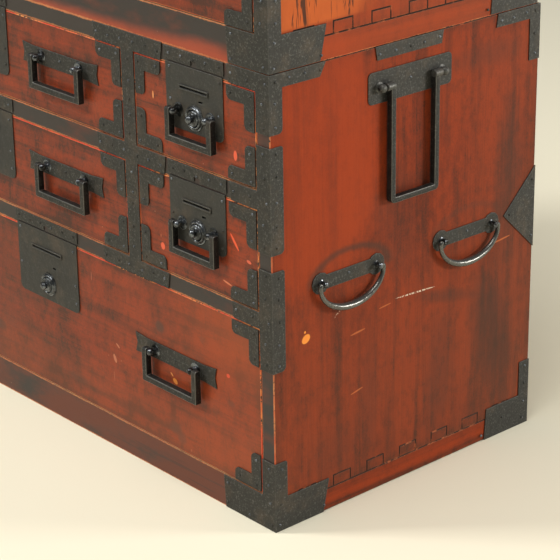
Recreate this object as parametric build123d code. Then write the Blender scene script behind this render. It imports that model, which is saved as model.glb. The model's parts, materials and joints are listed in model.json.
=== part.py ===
from build123d import *
from math import atan2, cos, degrees, pi, sin
import os

# Isho clothing chest: two stacked cases of lacquered wood with forged iron fittings.
# Millimetres. X runs to the right of someone facing the chest, Y to the back, Z up.
# The origin is on the floor, at the middle of the case and its front fittings.

# ---- Case: 2.8 by 1.4 shaku, in boards of 7 bu ----
case_width = 848.0
case_depth = 424.0
side_thickness = 21.0
top_thickness = 14.0
bottom_thickness = 14.0
back_thickness = 10.0
back_rebate = 9.0
back_board_count = 3
dust_thickness = 9.0
housing = 6.0
skid_height = 27.5
rail_depth = 36.0
finger_pitch = 28.0
upper_setback = 6.0

# ---- Front layout, from the floor up ----
base_rail = 41.5
long_row = 207.0
long_rail = 20.0
row_b = 121.0
middle_rail = 22.0
row_a = 112.5
top_rail = 21.0
partition_thickness = 22.5
small_opening = 211.0

# ---- Drawers ----
drawer_back_gap = 12.0
drawer_length = case_depth - upper_setback - back_thickness - drawer_back_gap
front_thickness = 18.0
box_thickness = 9.0
box_bottom = 6.0
front_lap = 10.0
back_drop = 12.0
drawer_gap = 1.0

# ---- Iron plates ----
iron = 1.5
corner_leg = 47.0
corner_width = 18.0
end_slant = 3.0
iron_seam = 0.5
corner_round = 7.0
post_iron_width = 17.5
leg_foot_round = 6.0
leg_top_round = 3.0
lock_lap = 5.0
plate_round = 8.0
small_lock = (98.0, 76.5)
wide_lock = (115.0, 88.0)
long_lock = (124.0, 93.0)
small_lock_offset = 2.5

# ---- Lock works ----
lock_case_width = 62.0
lock_case_depth = 12.0
lock_case_margin = 5.0
button_share = 0.24
button_radius = 9.6
button_height = 13.5
button_travel = 4.0
button_sides = 12
stem_radius = 3.0
collar_radius = 13.5
collar_height = 4.0
slot_rise = 26.5
slot_height = 3.0
slot_share = 0.48
slot_wall = 0.7
keyhole_share = 0.11
keyhole_width = 7.0
keyhole_height = 2.5
keyhole_depth = 8.0
bolt_width = 10.0
bolt_depth = 4.0
bolt_length = 24.0
bolt_reach = 9.0

# ---- Drop handles of the drawers ----
bail_bar = 8.0
bail_depth = 9.0
bail_drop = 39.0
small_bail_drop = 36.0
bail_standoff = 8.5
bail_width = 100.0
small_bail_width = 80.0
post_radius = 4.2
pin_radius = 2.1
handle_plate_width = 150.0
handle_plate_height = 21.0
handle_flare = 2.0
handle_rise = 12.5
wide_handle_inset = 120.75
long_handle_inset = 153.0
long_handle_rise = 15.5
small_post_rise = 22.25

# ---- Handles on the sides ----
side_handle_shift = 2.3
pole_width = 76.0
pole_drop = 138.0
pole_bar = 7.0
pole_depth = 8.5
pole_standoff = 6.5
pole_roll = 5.5
pole_post_radius = 5.2
pole_plate_width = 131.0
pole_plate_height = 37.0
pole_below_top = 47.0
grip_reach = 49.0
grip_drop = 36.0
grip_end_radius = 3.0
grip_middle_radius = 4.7
grip_standoff = 7.0
grip_post_radius = 3.5
grip_spans = 10
grip_plate_width = 112.0
grip_plate_height = 17.0
grip_lobe_radius = 13.0
grip_offset = 95.5
grip_height = 289.0

# ---- Clearances ----
running = 0.3
press_gap = 0.4

# ---- Places that follow from the sizes ----
front_reach = button_height
front_y = -(case_depth - front_reach) / 2
back_y = front_y + case_depth
middle_y = (front_y + back_y) / 2
handles_y = middle_y - side_handle_shift
outer_x = case_width / 2
inner_x = outer_x - side_thickness
inside_y = back_y - back_thickness
shelf_y = front_y + rail_depth

long_z = base_rail
long_rail_z = long_z + long_row
row_b_z = long_rail_z + long_rail
middle_rail_z = row_b_z + row_b
row_a_z = middle_rail_z + middle_rail
top_rail_z = row_a_z + row_a
lower_height = top_rail_z + top_rail

upper_z = lower_height
upper_back_y = back_y - upper_setback
upper_a_z = upper_z + base_rail
upper_rail_z = upper_a_z + long_row
upper_b_z = upper_rail_z + long_rail
upper_top_rail_z = upper_b_z + long_row
upper_height = upper_top_rail_z + top_rail - upper_z

partition_right = inner_x - small_opening
partition_left = partition_right - partition_thickness
eye_radius = pin_radius + running

# Faces that carry iron. Locally x runs along the face, y up and z out of it.
front_face = Plane(origin=(0, front_y, 0), x_dir=(1, 0, 0), z_dir=(0, -1, 0))
right_face = Plane(origin=(outer_x, 0, 0), x_dir=(0, 1, 0), z_dir=(1, 0, 0))

nodes = {}


def block(x0, x1, y0, y1, z0, z1):
    """A board given by its six faces."""
    middle = Pos((x0 + x1) / 2, (y0 + y1) / 2, (z0 + z1) / 2)
    return middle * Box(x1 - x0, y1 - y0, z1 - z0)


def raised(outline, height=iron, start=0.0):
    """A sketch in face coordinates, raised straight out of the face."""
    return Pos(0, 0, start) * extrude(outline, height, dir=(0, 0, 1))


def outline(*points):
    return Polygon(*points, align=None)


def strip(x0, x1, y0, y1):
    return Pos((x0 + x1) / 2, (y0 + y1) / 2) * Rectangle(x1 - x0, y1 - y0)


def both_sides(shapes):
    """The shapes of the right side, and their mirror images on the left."""
    return shapes + [mirror(shape, about=Plane.YZ) for shape in shapes]


def one_solid(shape):
    """The single solid of a boolean result."""
    return shape.solids()[0]


# ---- Boards of a case ----


def finger_blocks(foot, inside):
    """Fingers of the bottom board that pass through the right side."""
    depth = inside - shelf_y
    count = max(3, round(depth / finger_pitch))
    pitch = depth / count
    low = foot + skid_height
    return [
        block(inner_x, outer_x, shelf_y + i * pitch, shelf_y + (i + 1) * pitch, low, low + bottom_thickness)
        for i in range(0, count, 2)
    ]


def case_boards(foot, height, shelf_tops, rear):
    """Sides, top, bottom, back, dust boards and skids of one case that ends at y = rear."""
    top = foot + height
    low = foot + skid_height
    inside = rear - back_thickness
    reach = inner_x + housing
    fingers = finger_blocks(foot, inside)
    top_board = block(-reach, reach, shelf_y, inside, top - top_thickness, top)
    shelves = [block(-reach, reach, shelf_y, inside, z - dust_thickness, z) for z in shelf_tops]
    side = block(inner_x, outer_x, front_y, rear, low, top)
    side -= block(inner_x, inner_x + back_rebate, inside, rear, low, top)
    for cut in fingers + shelves + [top_board]:
        side -= cut
    side = one_solid(side)
    bottom = block(-inner_x, inner_x, shelf_y, inside, low, low + bottom_thickness)
    for finger in both_sides(fingers):
        bottom += finger
    half_back = inner_x + back_rebate
    board = (top - low) / back_board_count
    back = [
        block(-half_back, half_back, inside, rear, low + i * board, low + (i + 1) * board)
        for i in range(back_board_count)
    ]
    skid = block(inner_x, outer_x, front_y, rear, foot, low)
    return both_sides([side]), top_board, one_solid(bottom), back, shelves, both_sides([skid])


def rail(x0, x1, z0, z1, lock_centres=()):
    """A front rail, with a mortise in its underside over each lock."""
    bar = block(x0, x1, front_y, shelf_y, z0, z1)
    for x in lock_centres:
        half = bolt_width / 2 + running
        y = front_y + lock_case_depth / 2
        bar -= block(x - half, x + half, y - bolt_depth / 2 - running, y + bolt_depth / 2 + running, z0, z0 + bolt_reach)
    return bar


# ---- Iron plates of a case ----


def wrap_iron(z0, z1, arm_z0, arm_z1, front_arm, side_arm=0.0, side_z0=0.0, side_z1=0.0):
    """An iron folded round a front edge, with an arm on the rail and perhaps one on the side."""
    front = strip(inner_x, outer_x + iron, z0, z1)
    front += outline(
        (inner_x, arm_z0),
        (outer_x - front_arm + end_slant, arm_z0),
        (outer_x - front_arm, arm_z1),
        (inner_x, arm_z1),
    )
    edge = front_y
    side = strip(edge - iron, edge + post_iron_width, z0, z1)
    side = fillet(side.vertices().group_by(Axis.X)[-1].sort_by(Axis.Y)[:1], leg_foot_round)
    side = fillet(side.vertices().group_by(Axis.X)[-1].sort_by(Axis.Y)[-1:], leg_top_round)
    if side_arm:
        side += outline(
            (edge, side_z0),
            (edge + side_arm - end_slant * 3, side_z0),
            (edge + side_arm, side_z1),
            (edge, side_z1),
        )
    return one_solid(front_face * raised(front) + right_face * raised(side))


def rear_iron(rear, z0, z1, foot_z0, foot_z1, foot_length):
    """An L-shaped iron at a back corner of the side."""
    leg = strip(rear - post_iron_width, rear, z0, z1)
    foot = outline(
        (rear, foot_z0),
        (rear - foot_length, foot_z0),
        (rear - foot_length + end_slant, foot_z1),
        (rear, foot_z1),
    )
    return right_face * raised(leg + foot)


def strike_plate(x, width, z0, z1):
    """The plate above a lock, notched for the end of the bolt."""
    shape = strip(x - width / 2, x + width / 2, z0, z1)
    shape -= strip(x - bolt_width / 2, x + bolt_width / 2, z0, z0 + bolt_width * 0.6)
    return front_face * raised(shape)


def strike_over(centre, lock_width, opening_top, rail_top):
    return strike_plate(centre, lock_width + 4, opening_top - drawer_gap + lock_lap + iron_seam, rail_top - 1.0)


# ---- Handles ----


def post(u, v, standoff, radius):
    """A forged six-sided post with an eye for the handle's pin."""
    shaft = raised(Pos(u, v) * RegularPolygon(radius, 6), standoff + radius - iron, iron)
    shaft = chamfer(shaft.faces().sort_by(Axis.Z)[-1].edges(), radius * 0.35)
    eye = extrude(RegularPolygon(eye_radius, 6, major_radius=False), 2 * radius, both=True)
    return shaft - Pos(u, v, standoff) * Rot(0, 90, 0) * eye


def pin(u0, u1):
    """An eight-sided pin along the pivot."""
    bar = extrude(RegularPolygon(pin_radius, 8), abs(u1 - u0))
    return Pos(min(u0, u1), 0, 0) * Rot(0, 90, 0) * bar


def inner_post(width, bar):
    """Distance from the middle of a bail to its posts, which stand between its legs."""
    return width / 2 - bar - running - post_radius


def outer_post():
    """Distance from the middle of a pole handle to its posts, which stand outside it."""
    return pole_width / 2 + pole_roll + running + pole_post_radius


def bail(width, drop, bar, depth, pin_start, pin_end, roll=0.0):
    """A square-edged drop handle, hanging from a pivot along local x through its origin."""
    half = depth / 2
    corner = half * 0.42
    section = outline(
        (-drop, -half), (corner, -half), (half, -corner), (half, corner), (corner, half), (-drop, half)
    )
    shape = Pos(0, -drop + bar / 2, 0) * Box(width, bar, depth)
    for side in (-1, 1):
        start = side * (width - bar) / 2 - bar / 2
        leg_plane = Plane(origin=(start, 0, 0), x_dir=(0, 1, 0), z_dir=(1, 0, 0))
        shape += leg_plane * raised(section, bar)
        if roll:
            knuckle = extrude(RegularPolygon(half, 8, major_radius=False), bar + roll)
            shape += Pos(min(side * (width / 2 - bar), side * (width / 2 + roll)), 0, 0) * Rot(0, 90, 0) * knuckle
        shape += pin(side * pin_start, side * pin_end)
    return one_solid(shape)


def crescent_grip():
    """A round grip, thin at its ends and swelling to the middle, hanging like the bail."""
    stations = [(-grip_reach, grip_end_radius, (0, -1, 0), grip_end_radius)]
    for i in range(grip_spans + 1):
        turn = pi * i / grip_spans
        swell = grip_end_radius + (grip_middle_radius - grip_end_radius) * sin(turn) ** 2
        along = (grip_reach * sin(turn), -grip_drop * cos(turn), 0)
        stations.append((-grip_reach * cos(turn), -grip_drop * sin(turn), along, swell))
    stations.append((grip_reach, grip_end_radius, (0, 1, 0), grip_end_radius))
    sections = [
        Plane(origin=(x, y, 0), x_dir=(0, 0, 1), z_dir=along) * RegularPolygon(radius, 8)
        for x, y, along, radius in stations
    ]
    shape = loft(sections, ruled=True)
    inner = grip_reach - grip_end_radius - running - 2 * grip_post_radius - 1
    for side in (-1, 1):
        shape += pin(side * grip_reach, side * inner)
    return one_solid(shape)


def handle_plate(u, v):
    """A drawer handle's plate, waisted between flared ends."""
    half_w = handle_plate_width / 2
    half_h = handle_plate_height / 2
    end_h = half_h + handle_flare
    neck = half_w - 22
    shape = outline(
        (-half_w, -end_h), (-neck, -half_h), (neck, -half_h), (half_w, -end_h), (half_w - end_slant, 0),
        (half_w, end_h), (neck, half_h), (-neck, half_h), (-half_w, end_h), (-half_w + end_slant, 0),
    )
    return raised(Pos(u, v) * shape)


def drop_handle(name, u, v, width, drop):
    """A drawer's bail at its place on the front."""
    pin_end = inner_post(width, bail_bar) - post_radius - 1
    hanging = bail(width, drop, bail_bar, bail_depth, (width - bail_bar) / 2, pin_end)
    nodes[name] = front_face * Pos(u, v, bail_standoff) * hanging


def bail_posts(u, v, width):
    place = inner_post(width, bail_bar)
    return [front_face * post(u + side * place, v, bail_standoff, post_radius) for side in (-1, 1)]


# ---- Locks ----


def lock_openings(u, bottom, width, height):
    """The slot and the keyhole of a lock, as sketches in face coordinates."""
    slot = Pos(u, bottom + height - slot_rise) * Rectangle(width * slot_share, slot_height)
    keyhole = Pos(u + width * keyhole_share, bottom + height / 2) * Rectangle(keyhole_width, keyhole_height)
    return slot, keyhole


def lock_plate(u, bottom, width, height):
    """A lock's plate: rounded lower corners, a slot, a keyhole and the button's hole."""
    shape = strip(u - width / 2, u + width / 2, bottom, bottom + height)
    shape = fillet(shape.vertices().group_by(Axis.Y)[0], plate_round)
    shape -= Pos(u, bottom + height * button_share) * RegularPolygon(button_radius + press_gap, button_sides)
    for opening in lock_openings(u, bottom, width, height):
        shape -= opening
    return front_face * raised(shape)


def lock_works(u, bottom, width, height):
    """The case let into the drawer front, its bolt, and the collar round the button."""
    half = lock_case_width / 2
    top = bottom + height - lock_lap
    low = bottom + lock_case_margin
    pocket = block(u - half, u + half, front_y, front_y + lock_case_depth, low, top)
    centre = bottom + height * button_share
    well = RegularPolygon(button_radius + press_gap, button_sides)
    works = pocket - front_face * raised(Pos(u, centre) * well, button_travel, -button_travel)
    bore = Pos(u, centre) * RegularPolygon(stem_radius + running, 8)
    stem_bore = raised(bore, lock_case_depth - 0.5, 0.5 - lock_case_depth)
    works -= front_face * stem_bore
    slot, keyhole = lock_openings(u, bottom, width, height)
    slot_depth = (lock_case_depth - bolt_depth) / 2 - running - slot_wall
    works -= front_face * raised(slot, slot_depth, -slot_depth)
    works -= front_face * raised(keyhole, keyhole_depth, -keyhole_depth)
    bolt_y = front_y + lock_case_depth / 2
    bolt = block(
        u - bolt_width / 2, u + bolt_width / 2,
        bolt_y - bolt_depth / 2, bolt_y + bolt_depth / 2,
        top - 1 - bolt_length, top - 1,
    )
    works -= block(
        u - bolt_width / 2 - running, u + bolt_width / 2 + running,
        bolt_y - bolt_depth / 2 - running, bolt_y + bolt_depth / 2 + running,
        top - 1 - bolt_length, top,
    )
    ring = raised(Pos(u, centre) * RegularPolygon(collar_radius, button_sides), collar_height - iron, iron)
    ring = chamfer(ring.faces().sort_by(Axis.Z)[-1].edges(), 1.5)
    ring -= raised(Pos(u, centre) * well, collar_height, 0)
    return pocket, [one_solid(works), bolt, front_face * ring]


def frustum(radius, low, next_radius, high):
    """One tapering or swelling step of a many-sided turned shape."""
    shrink = (radius - next_radius) * cos(pi / button_sides)
    slope = degrees(atan2(shrink, high - low))
    return Pos(0, 0, low) * extrude(RegularPolygon(radius, button_sides), high - low, taper=slope)


def button(u, centre):
    """A stepped button with a ball tip, on a stem that reaches into the lock."""
    steps = [
        (button_radius, 0.5),
        (button_radius, 4.6),
        (button_radius - 2.2, 6.1),
        (button_radius - 3.2, 6.6),
        (button_radius - 5.9, 7.7),
        (button_radius - 5.2, 9.0),
        (button_radius - 5.2, 10.5),
        (button_radius - 6.0, 12.2),
        (button_radius - 7.6, button_height),
    ]
    shape = Pos(0, 0, -6) * extrude(RegularPolygon(stem_radius, 8), 6.5)
    for (radius, low), (next_radius, high) in zip(steps, steps[1:]):
        shape += frustum(radius, low, next_radius, high)
    return front_face * Pos(u, centre, 0) * one_solid(shape)


# ---- Drawers ----


def corner_irons(x0, x1, z0, z1):
    """Four L-shaped irons on the corners of a drawer front."""
    leg, width = corner_leg, corner_width
    shape = outline((0, 0), (leg, 0), (leg, width), (width, width), (width, leg), (0, leg))
    shape = fillet(shape.vertices().group_by(Axis.X)[-1].sort_by(Axis.Y)[-1:], corner_round)
    shape = fillet(shape.vertices().group_by(Axis.Y)[-1].sort_by(Axis.X)[-1:], corner_round)
    irons = []
    for x, z, turn in ((x0, z0, 0), (x1, z0, 90), (x1, z1, 180), (x0, z1, 270)):
        irons.append(front_face * raised(Pos(x, z) * Rot(0, 0, turn) * shape))
    return irons


def drawer(name, x0, x1, z0, z1, lock, centre, handle_inset, rise, own_front=True):
    """One drawer in the opening x0..x1, z0..z1, with its lock at x = centre, irons, button and handles."""
    left, right = x0 + drawer_gap, x1 - drawer_gap
    low, top = z0 + drawer_gap, z1 - drawer_gap
    face_back = front_y + front_thickness
    lap_y = face_back - front_lap
    rear = front_y + drawer_length
    plate_bottom = top + lock_lap - lock[1]

    sides = [
        block(left, left + box_thickness, lap_y, rear, z0, top),
        block(right - box_thickness, right, lap_y, rear, z0, top),
    ]
    pocket, works = lock_works(centre, plate_bottom, *lock)
    front = block(left, right, front_y, face_back, low, top) - pocket
    for side in sides:
        front -= side
    front = one_solid(front)
    inner_left, inner_right = left + box_thickness, right - box_thickness
    floor = block(inner_left, inner_right, face_back, rear, z0, z0 + box_bottom)
    back = block(inner_left, inner_right, rear - box_thickness, rear, z0 + box_bottom, top - back_drop)
    box = sides + [floor, back]

    irons = corner_irons(left, right, low, top) + works
    irons.append(lock_plate(centre, plate_bottom, *lock))
    if handle_inset:
        v = (z0 + z1) / 2 + rise
        for end, side, tag in ((x0, 1, "left"), (x1, -1, "right")):
            u = end + side * handle_inset
            irons.append(front_face * handle_plate(u, v))
            irons += bail_posts(u, v, bail_width)
            drop_handle(f"{name}_bail_{tag}", u, v, bail_width, bail_drop)
    else:
        v = plate_bottom + small_post_rise
        irons += bail_posts(centre, v, small_bail_width)
        drop_handle(f"{name}_bail", centre, v, small_bail_width, small_bail_drop)

    if own_front:
        nodes[f"{name}_front"] = front
        nodes[f"{name}_box"] = box
    else:
        nodes[f"{name}_body"] = [front] + box
    nodes[f"{name}_irons"] = irons
    nodes[f"{name}_button"] = button(centre, plate_bottom + lock[1] * button_share)


# ---- Lower case ----

sides, top_board, bottom_board, back, shelves, skids = case_boards(0, lower_height, [row_b_z], back_y)
partition = block(partition_left, partition_right, front_y, inside_y, row_b_z, top_rail_z)
partition += block(partition_left, partition_right, shelf_y, inside_y, row_b_z, lower_height - top_thickness)
middle_shelves = [
    block(-inner_x - housing, partition_left + housing, shelf_y, inside_y, row_a_z - dust_thickness, row_a_z),
    block(partition_right - housing, inner_x + housing, shelf_y, inside_y, row_a_z - dust_thickness, row_a_z),
]
for shelf in middle_shelves:
    partition -= shelf
    sides = [one_solid(side - shelf) for side in sides]

wide_centre = (-inner_x + partition_left) / 2
small_centre = (partition_right + inner_x) / 2 + small_lock_offset

nodes["lower_sides"] = sides
nodes["lower_top_board"] = top_board
nodes["lower_bottom_board"] = bottom_board
nodes["lower_back_boards"] = back
nodes["lower_partition"] = one_solid(partition)
nodes["lower_dust_boards"] = shelves + middle_shelves
nodes["lower_skids"] = skids
nodes["lower_front_rails"] = [
    rail(-inner_x, inner_x, 0, base_rail),
    rail(-inner_x, inner_x, long_rail_z, row_b_z, [0]),
    rail(-inner_x, partition_left, middle_rail_z, row_a_z, [wide_centre]),
    rail(partition_right, inner_x, middle_rail_z, row_a_z, [small_centre]),
    rail(-inner_x, inner_x, top_rail_z, lower_height, [wide_centre, small_centre]),
]

# ---- Irons folded round the front edges, and those at the back of the sides ----

top_iron_drop = 67.0
middle_iron_rise = 52.5
middle_iron_fall = 49.0
base_iron_height = 87.0
rail_arm = 68.0
base_arm = 90.0
side_top_arm = 81.0
side_base_arm = 82.0
side_strap = 16.0
side_strap_start = 155.0
side_strap_end = 262.0
triangle_height = 105.0
triangle_depth = 54.0


def case_corner_irons(foot, height, rails, base_front_arm, rear):
    """Right-hand edge irons of one case, with its rear irons and the strap over the handle."""
    top = foot + height
    irons = [
        wrap_iron(top - top_iron_drop, top, top - top_rail, top, rail_arm, side_top_arm, top - side_strap, top),
        wrap_iron(foot, foot + base_iron_height, foot, foot + base_rail, base_front_arm,
                  side_base_arm, foot, foot + base_rail),
    ]
    for z0, z1 in rails:
        irons.append(wrap_iron(z0 - middle_iron_fall, z1 + middle_iron_rise, z0, z1, rail_arm))
    strap = outline(
        (front_y + side_strap_start + end_slant, top - side_strap),
        (front_y + side_strap_end - end_slant, top - side_strap),
        (front_y + side_strap_end, top),
        (front_y + side_strap_start, top),
    )
    middle = foot + height * 0.535
    triangle = outline(
        (rear, middle - triangle_height / 2),
        (rear, middle + triangle_height / 2),
        (rear - triangle_depth, middle),
    )
    irons += [
        right_face * raised(strap),
        right_face * raised(triangle),
        rear_iron(rear, top - top_iron_drop, top, top - side_strap, top, side_top_arm - 6),
        rear_iron(rear, foot, foot + base_iron_height, foot, foot + base_rail, side_base_arm - 3),
    ]
    return irons


lower_rails = [(middle_rail_z, row_a_z), (long_rail_z, row_b_z)]
nodes["lower_corner_irons"] = both_sides(case_corner_irons(0, lower_height, lower_rails, base_arm, back_y))

# ---- Irons on the divider and the rails of the lower case ----

divider_arm = 64.0
cross_limb = 44.0
divider = (partition_left + partition_right) / 2


def cross_iron(z0, z1, up, down):
    """An iron on the rail z0..z1 with limbs up and down the divider."""
    shape = outline(
        (divider - divider_arm + end_slant, z0), (divider + divider_arm - end_slant, z0),
        (divider + divider_arm, z1), (divider - divider_arm, z1),
    )
    if up or down:
        shape += strip(partition_left, partition_right, z0 - down, z1 + up)
    return front_face * raised(shape)


top_limb = row_a - cross_limb - iron_seam
foot_limb = row_b - cross_limb - iron_seam
nodes["lower_face_irons"] = [
    cross_iron(top_rail_z, lower_height, 0, top_limb),
    cross_iron(middle_rail_z, row_a_z, cross_limb, cross_limb),
    cross_iron(long_rail_z, row_b_z, foot_limb, 0),
    strike_over(wide_centre, wide_lock[0], top_rail_z, lower_height),
    strike_over(small_centre, small_lock[0], top_rail_z, lower_height),
    strike_over(wide_centre, wide_lock[0], middle_rail_z, row_a_z),
    strike_over(small_centre, small_lock[0], middle_rail_z, row_a_z),
    strike_over(0, long_lock[0], long_rail_z, row_b_z),
]

# ---- Side handles ----


def pole_mount(v):
    """Plate and posts of a pole handle on the right side."""
    plate = Pos(handles_y, v) * RectangleRounded(pole_plate_width, pole_plate_height, 6)
    posts = [post(handles_y + side * outer_post(), v, pole_standoff, pole_post_radius) for side in (-1, 1)]
    return [right_face * raised(plate)] + [right_face * shape for shape in posts]


def grip_mount(u, v):
    """Lobed plate and posts of a crescent grip on the right side."""
    plate = Pos(u, v) * Rectangle(grip_plate_width - 2 * grip_lobe_radius, grip_plate_height)
    for side in (-1, 1):
        lobe = side * (grip_plate_width / 2 - grip_lobe_radius)
        plate += Pos(u + lobe, v) * RegularPolygon(grip_lobe_radius, 12)
    place = grip_reach - grip_end_radius - running - grip_post_radius
    posts = [post(u + side * place, v, grip_standoff, grip_post_radius) for side in (-1, 1)]
    return [right_face * raised(plate)] + [right_face * shape for shape in posts]


def pole_handle(v):
    pin_end = outer_post() + pole_post_radius + 1
    hanging = bail(pole_width, pole_drop, pole_bar, pole_depth, (pole_width - pole_bar) / 2, pin_end, pole_roll)
    return right_face * Pos(handles_y, v, pole_standoff) * hanging


lower_pole_z = lower_height - pole_below_top
upper_pole_z = upper_z + upper_height - pole_below_top
lower_mounts = pole_mount(lower_pole_z)
for tag, offset in (("front", -grip_offset), ("rear", grip_offset)):
    lower_mounts += grip_mount(handles_y + offset, grip_height)
    grip = right_face * Pos(handles_y + offset, grip_height, grip_standoff) * crescent_grip()
    nodes[f"grip_right_{tag}"] = grip
    nodes[f"grip_left_{tag}"] = mirror(grip, about=Plane.YZ)
nodes["lower_handle_mounts"] = both_sides(lower_mounts)
for case, height in (("lower", lower_pole_z), ("upper", upper_pole_z)):
    pole = pole_handle(height)
    nodes[f"{case}_pole_right"] = pole
    nodes[f"{case}_pole_left"] = mirror(pole, about=Plane.YZ)

# ---- Upper case ----

sides, top_board, bottom_board, back, shelves, skids = case_boards(upper_z, upper_height, [upper_b_z], upper_back_y)
nodes["upper_boards"] = sides + [top_board, bottom_board] + back + shelves + skids
nodes["upper_front_rails"] = [
    rail(-inner_x, inner_x, upper_z, upper_a_z),
    rail(-inner_x, inner_x, upper_rail_z, upper_b_z, [0]),
    rail(-inner_x, inner_x, upper_top_rail_z, upper_z + upper_height, [0]),
]
upper_rails = [(upper_rail_z, upper_b_z)]
upper_irons = case_corner_irons(upper_z, upper_height, upper_rails, rail_arm, upper_back_y)
nodes["upper_irons"] = both_sides(upper_irons + pole_mount(upper_pole_z)) + [
    strike_over(0, long_lock[0], upper_rail_z, upper_b_z),
    strike_over(0, long_lock[0], upper_top_rail_z, upper_z + upper_height),
]

# ---- Drawers, from the bottom up ----

small = (partition_right, inner_x)
wide = (-inner_x, partition_left)
full = (-inner_x, inner_x)
drawer("long_drawer", *full, long_z, long_rail_z, long_lock, 0, long_handle_inset, long_handle_rise)
drawer("wide_drawer_b", *wide, row_b_z, middle_rail_z, wide_lock, wide_centre, wide_handle_inset, handle_rise)
drawer("small_drawer_b", *small, row_b_z, middle_rail_z, small_lock, small_centre, 0, 0)
drawer("wide_drawer_a", *wide, row_a_z, top_rail_z, wide_lock, wide_centre, wide_handle_inset, handle_rise)
drawer("small_drawer_a", *small, row_a_z, top_rail_z, small_lock, small_centre, 0, 0)
drawer("upper_drawer_b", *full, upper_a_z, upper_rail_z, long_lock, 0, long_handle_inset, long_handle_rise, False)
drawer("upper_drawer_a", *full, upper_b_z, upper_top_rail_z, long_lock, 0, long_handle_inset, long_handle_rise, False)

os.makedirs("parts", exist_ok=True)
for name, shapes in nodes.items():
    shapes = shapes if isinstance(shapes, list) else [shapes]
    solids = [solid for shape in shapes for solid in shape.solids()]
    export_step(Compound(label=name, children=solids), f"parts/{name}.step")
print(len(nodes), "nodes, case", case_width, "x", case_depth, "x", upper_z + upper_height)
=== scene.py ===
import json
import math
import random

import bmesh
import bpy
from bpy.props import FloatProperty, FloatVectorProperty, PointerProperty
from mathutils import Euler, Matrix, Vector


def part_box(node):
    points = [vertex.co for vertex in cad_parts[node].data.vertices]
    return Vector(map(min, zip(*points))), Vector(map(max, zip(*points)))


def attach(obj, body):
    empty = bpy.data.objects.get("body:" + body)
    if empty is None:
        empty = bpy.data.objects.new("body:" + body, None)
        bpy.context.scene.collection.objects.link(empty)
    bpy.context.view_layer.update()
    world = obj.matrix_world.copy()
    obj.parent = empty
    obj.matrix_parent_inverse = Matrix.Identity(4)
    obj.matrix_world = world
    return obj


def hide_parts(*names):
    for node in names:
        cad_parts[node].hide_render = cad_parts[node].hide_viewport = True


bl_info = {
    "name": "Isho clothing chest",
    "version": (1, 0, 0),
    "blender": (4, 5, 0),
    "location": "View3D > Sidebar > Chest",
    "description": "Finishes the lacquered boards and the forged ironwork of a stacked clothing chest",
    "category": "Object",
}

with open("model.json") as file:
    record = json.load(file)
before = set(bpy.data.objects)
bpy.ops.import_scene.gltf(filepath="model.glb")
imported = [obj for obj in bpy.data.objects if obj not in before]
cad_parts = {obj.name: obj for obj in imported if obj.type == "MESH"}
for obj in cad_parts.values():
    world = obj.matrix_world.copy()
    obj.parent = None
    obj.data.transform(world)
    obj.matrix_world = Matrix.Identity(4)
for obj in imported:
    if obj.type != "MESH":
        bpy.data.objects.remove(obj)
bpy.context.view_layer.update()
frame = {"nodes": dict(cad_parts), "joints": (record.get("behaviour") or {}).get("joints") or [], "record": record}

NODES = frame["nodes"]
BODIES = frame["record"]["behaviour"]["bodies"]
BODY_OF = {node: body for body, nodes in BODIES.items() for node in nodes}
PIVOTS = {joint["child"]: Vector(joint["pos_m"]) for joint in frame["joints"] if joint["type"] == "hinge"}
MM = 0.001

SIDES_LOW, SIDES_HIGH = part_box("lower_sides")
OUTER_X = SIDES_HIGH.x
FRONT_Y = SIDES_LOW.y
CASE_TOP = SIDES_HIGH.z
CHEST_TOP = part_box("upper_boards")[1].z
IRON = 1.5 * MM
NEAR = 2 * MM  # How close to a face of the case counts as on it

# Sizes that tell the irons of a CAD node apart
POST_SPAN = 13.5 * MM
CORNER_IRON_SPAN = 48 * MM
HANDLE_PLATE_WIDTH = 140 * MM
LOCK_PLATE_WIDTH, LOCK_PLATE_HEIGHT = 90 * MM, 60 * MM
WIDE_BAIL = 90 * MM

# Millimetres above the wood: a fitting's foot, just inside its plate, and the pins of the handles
FOOT = 1.45
BAIL_PIN, POLE_PIN, GRIP_PIN = 8.5, 6.5, 7.0

# Profiles of the turned fittings from foot to tip, as (radius, height) in millimetres
POST_PROFILE = (
    (8.5, FOOT), (8.5, 1.80), (7.7, 2.25), (5.6, 2.05), (4.2, 2.4), (3.7, 3.6), (3.8, 5.0), (4.15, 6.4),
    (4.35, 8.0), (4.35, 9.3), (4.1, 10.7), (3.5, 11.9), (2.4, 12.8), (1.2, 13.15), (0.4, 13.2),
)
POLE_POST_PROFILE = (
    (6.4, FOOT), (6.4, 1.9), (5.2, 2.4), (4.1, 2.9), (4.4, 4.1), (4.95, 5.4), (5.1, 6.8), (4.9, 8.3),
    (4.2, 9.8), (3.0, 10.9), (1.5, 11.5), (0.4, 11.6),
)
GRIP_POST_PROFILE = (
    (4.4, FOOT), (4.4, 1.9), (3.4, 2.4), (3.2, 4.0), (3.3, 9.0), (3.5, 9.8), (3.1, 10.6), (1.9, 11.1),
    (0.5, 11.2),
)
COLLAR_PROFILE = (
    (9.95, FOOT), (9.95, 3.9), (10.4, 4.6), (11.3, 4.9), (12.3, 4.5), (13.0, 3.6), (13.4, 2.5),
    (13.9, 2.2), (14.5, 2.5), (15.1, 2.4), (15.3, FOOT),
)
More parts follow.
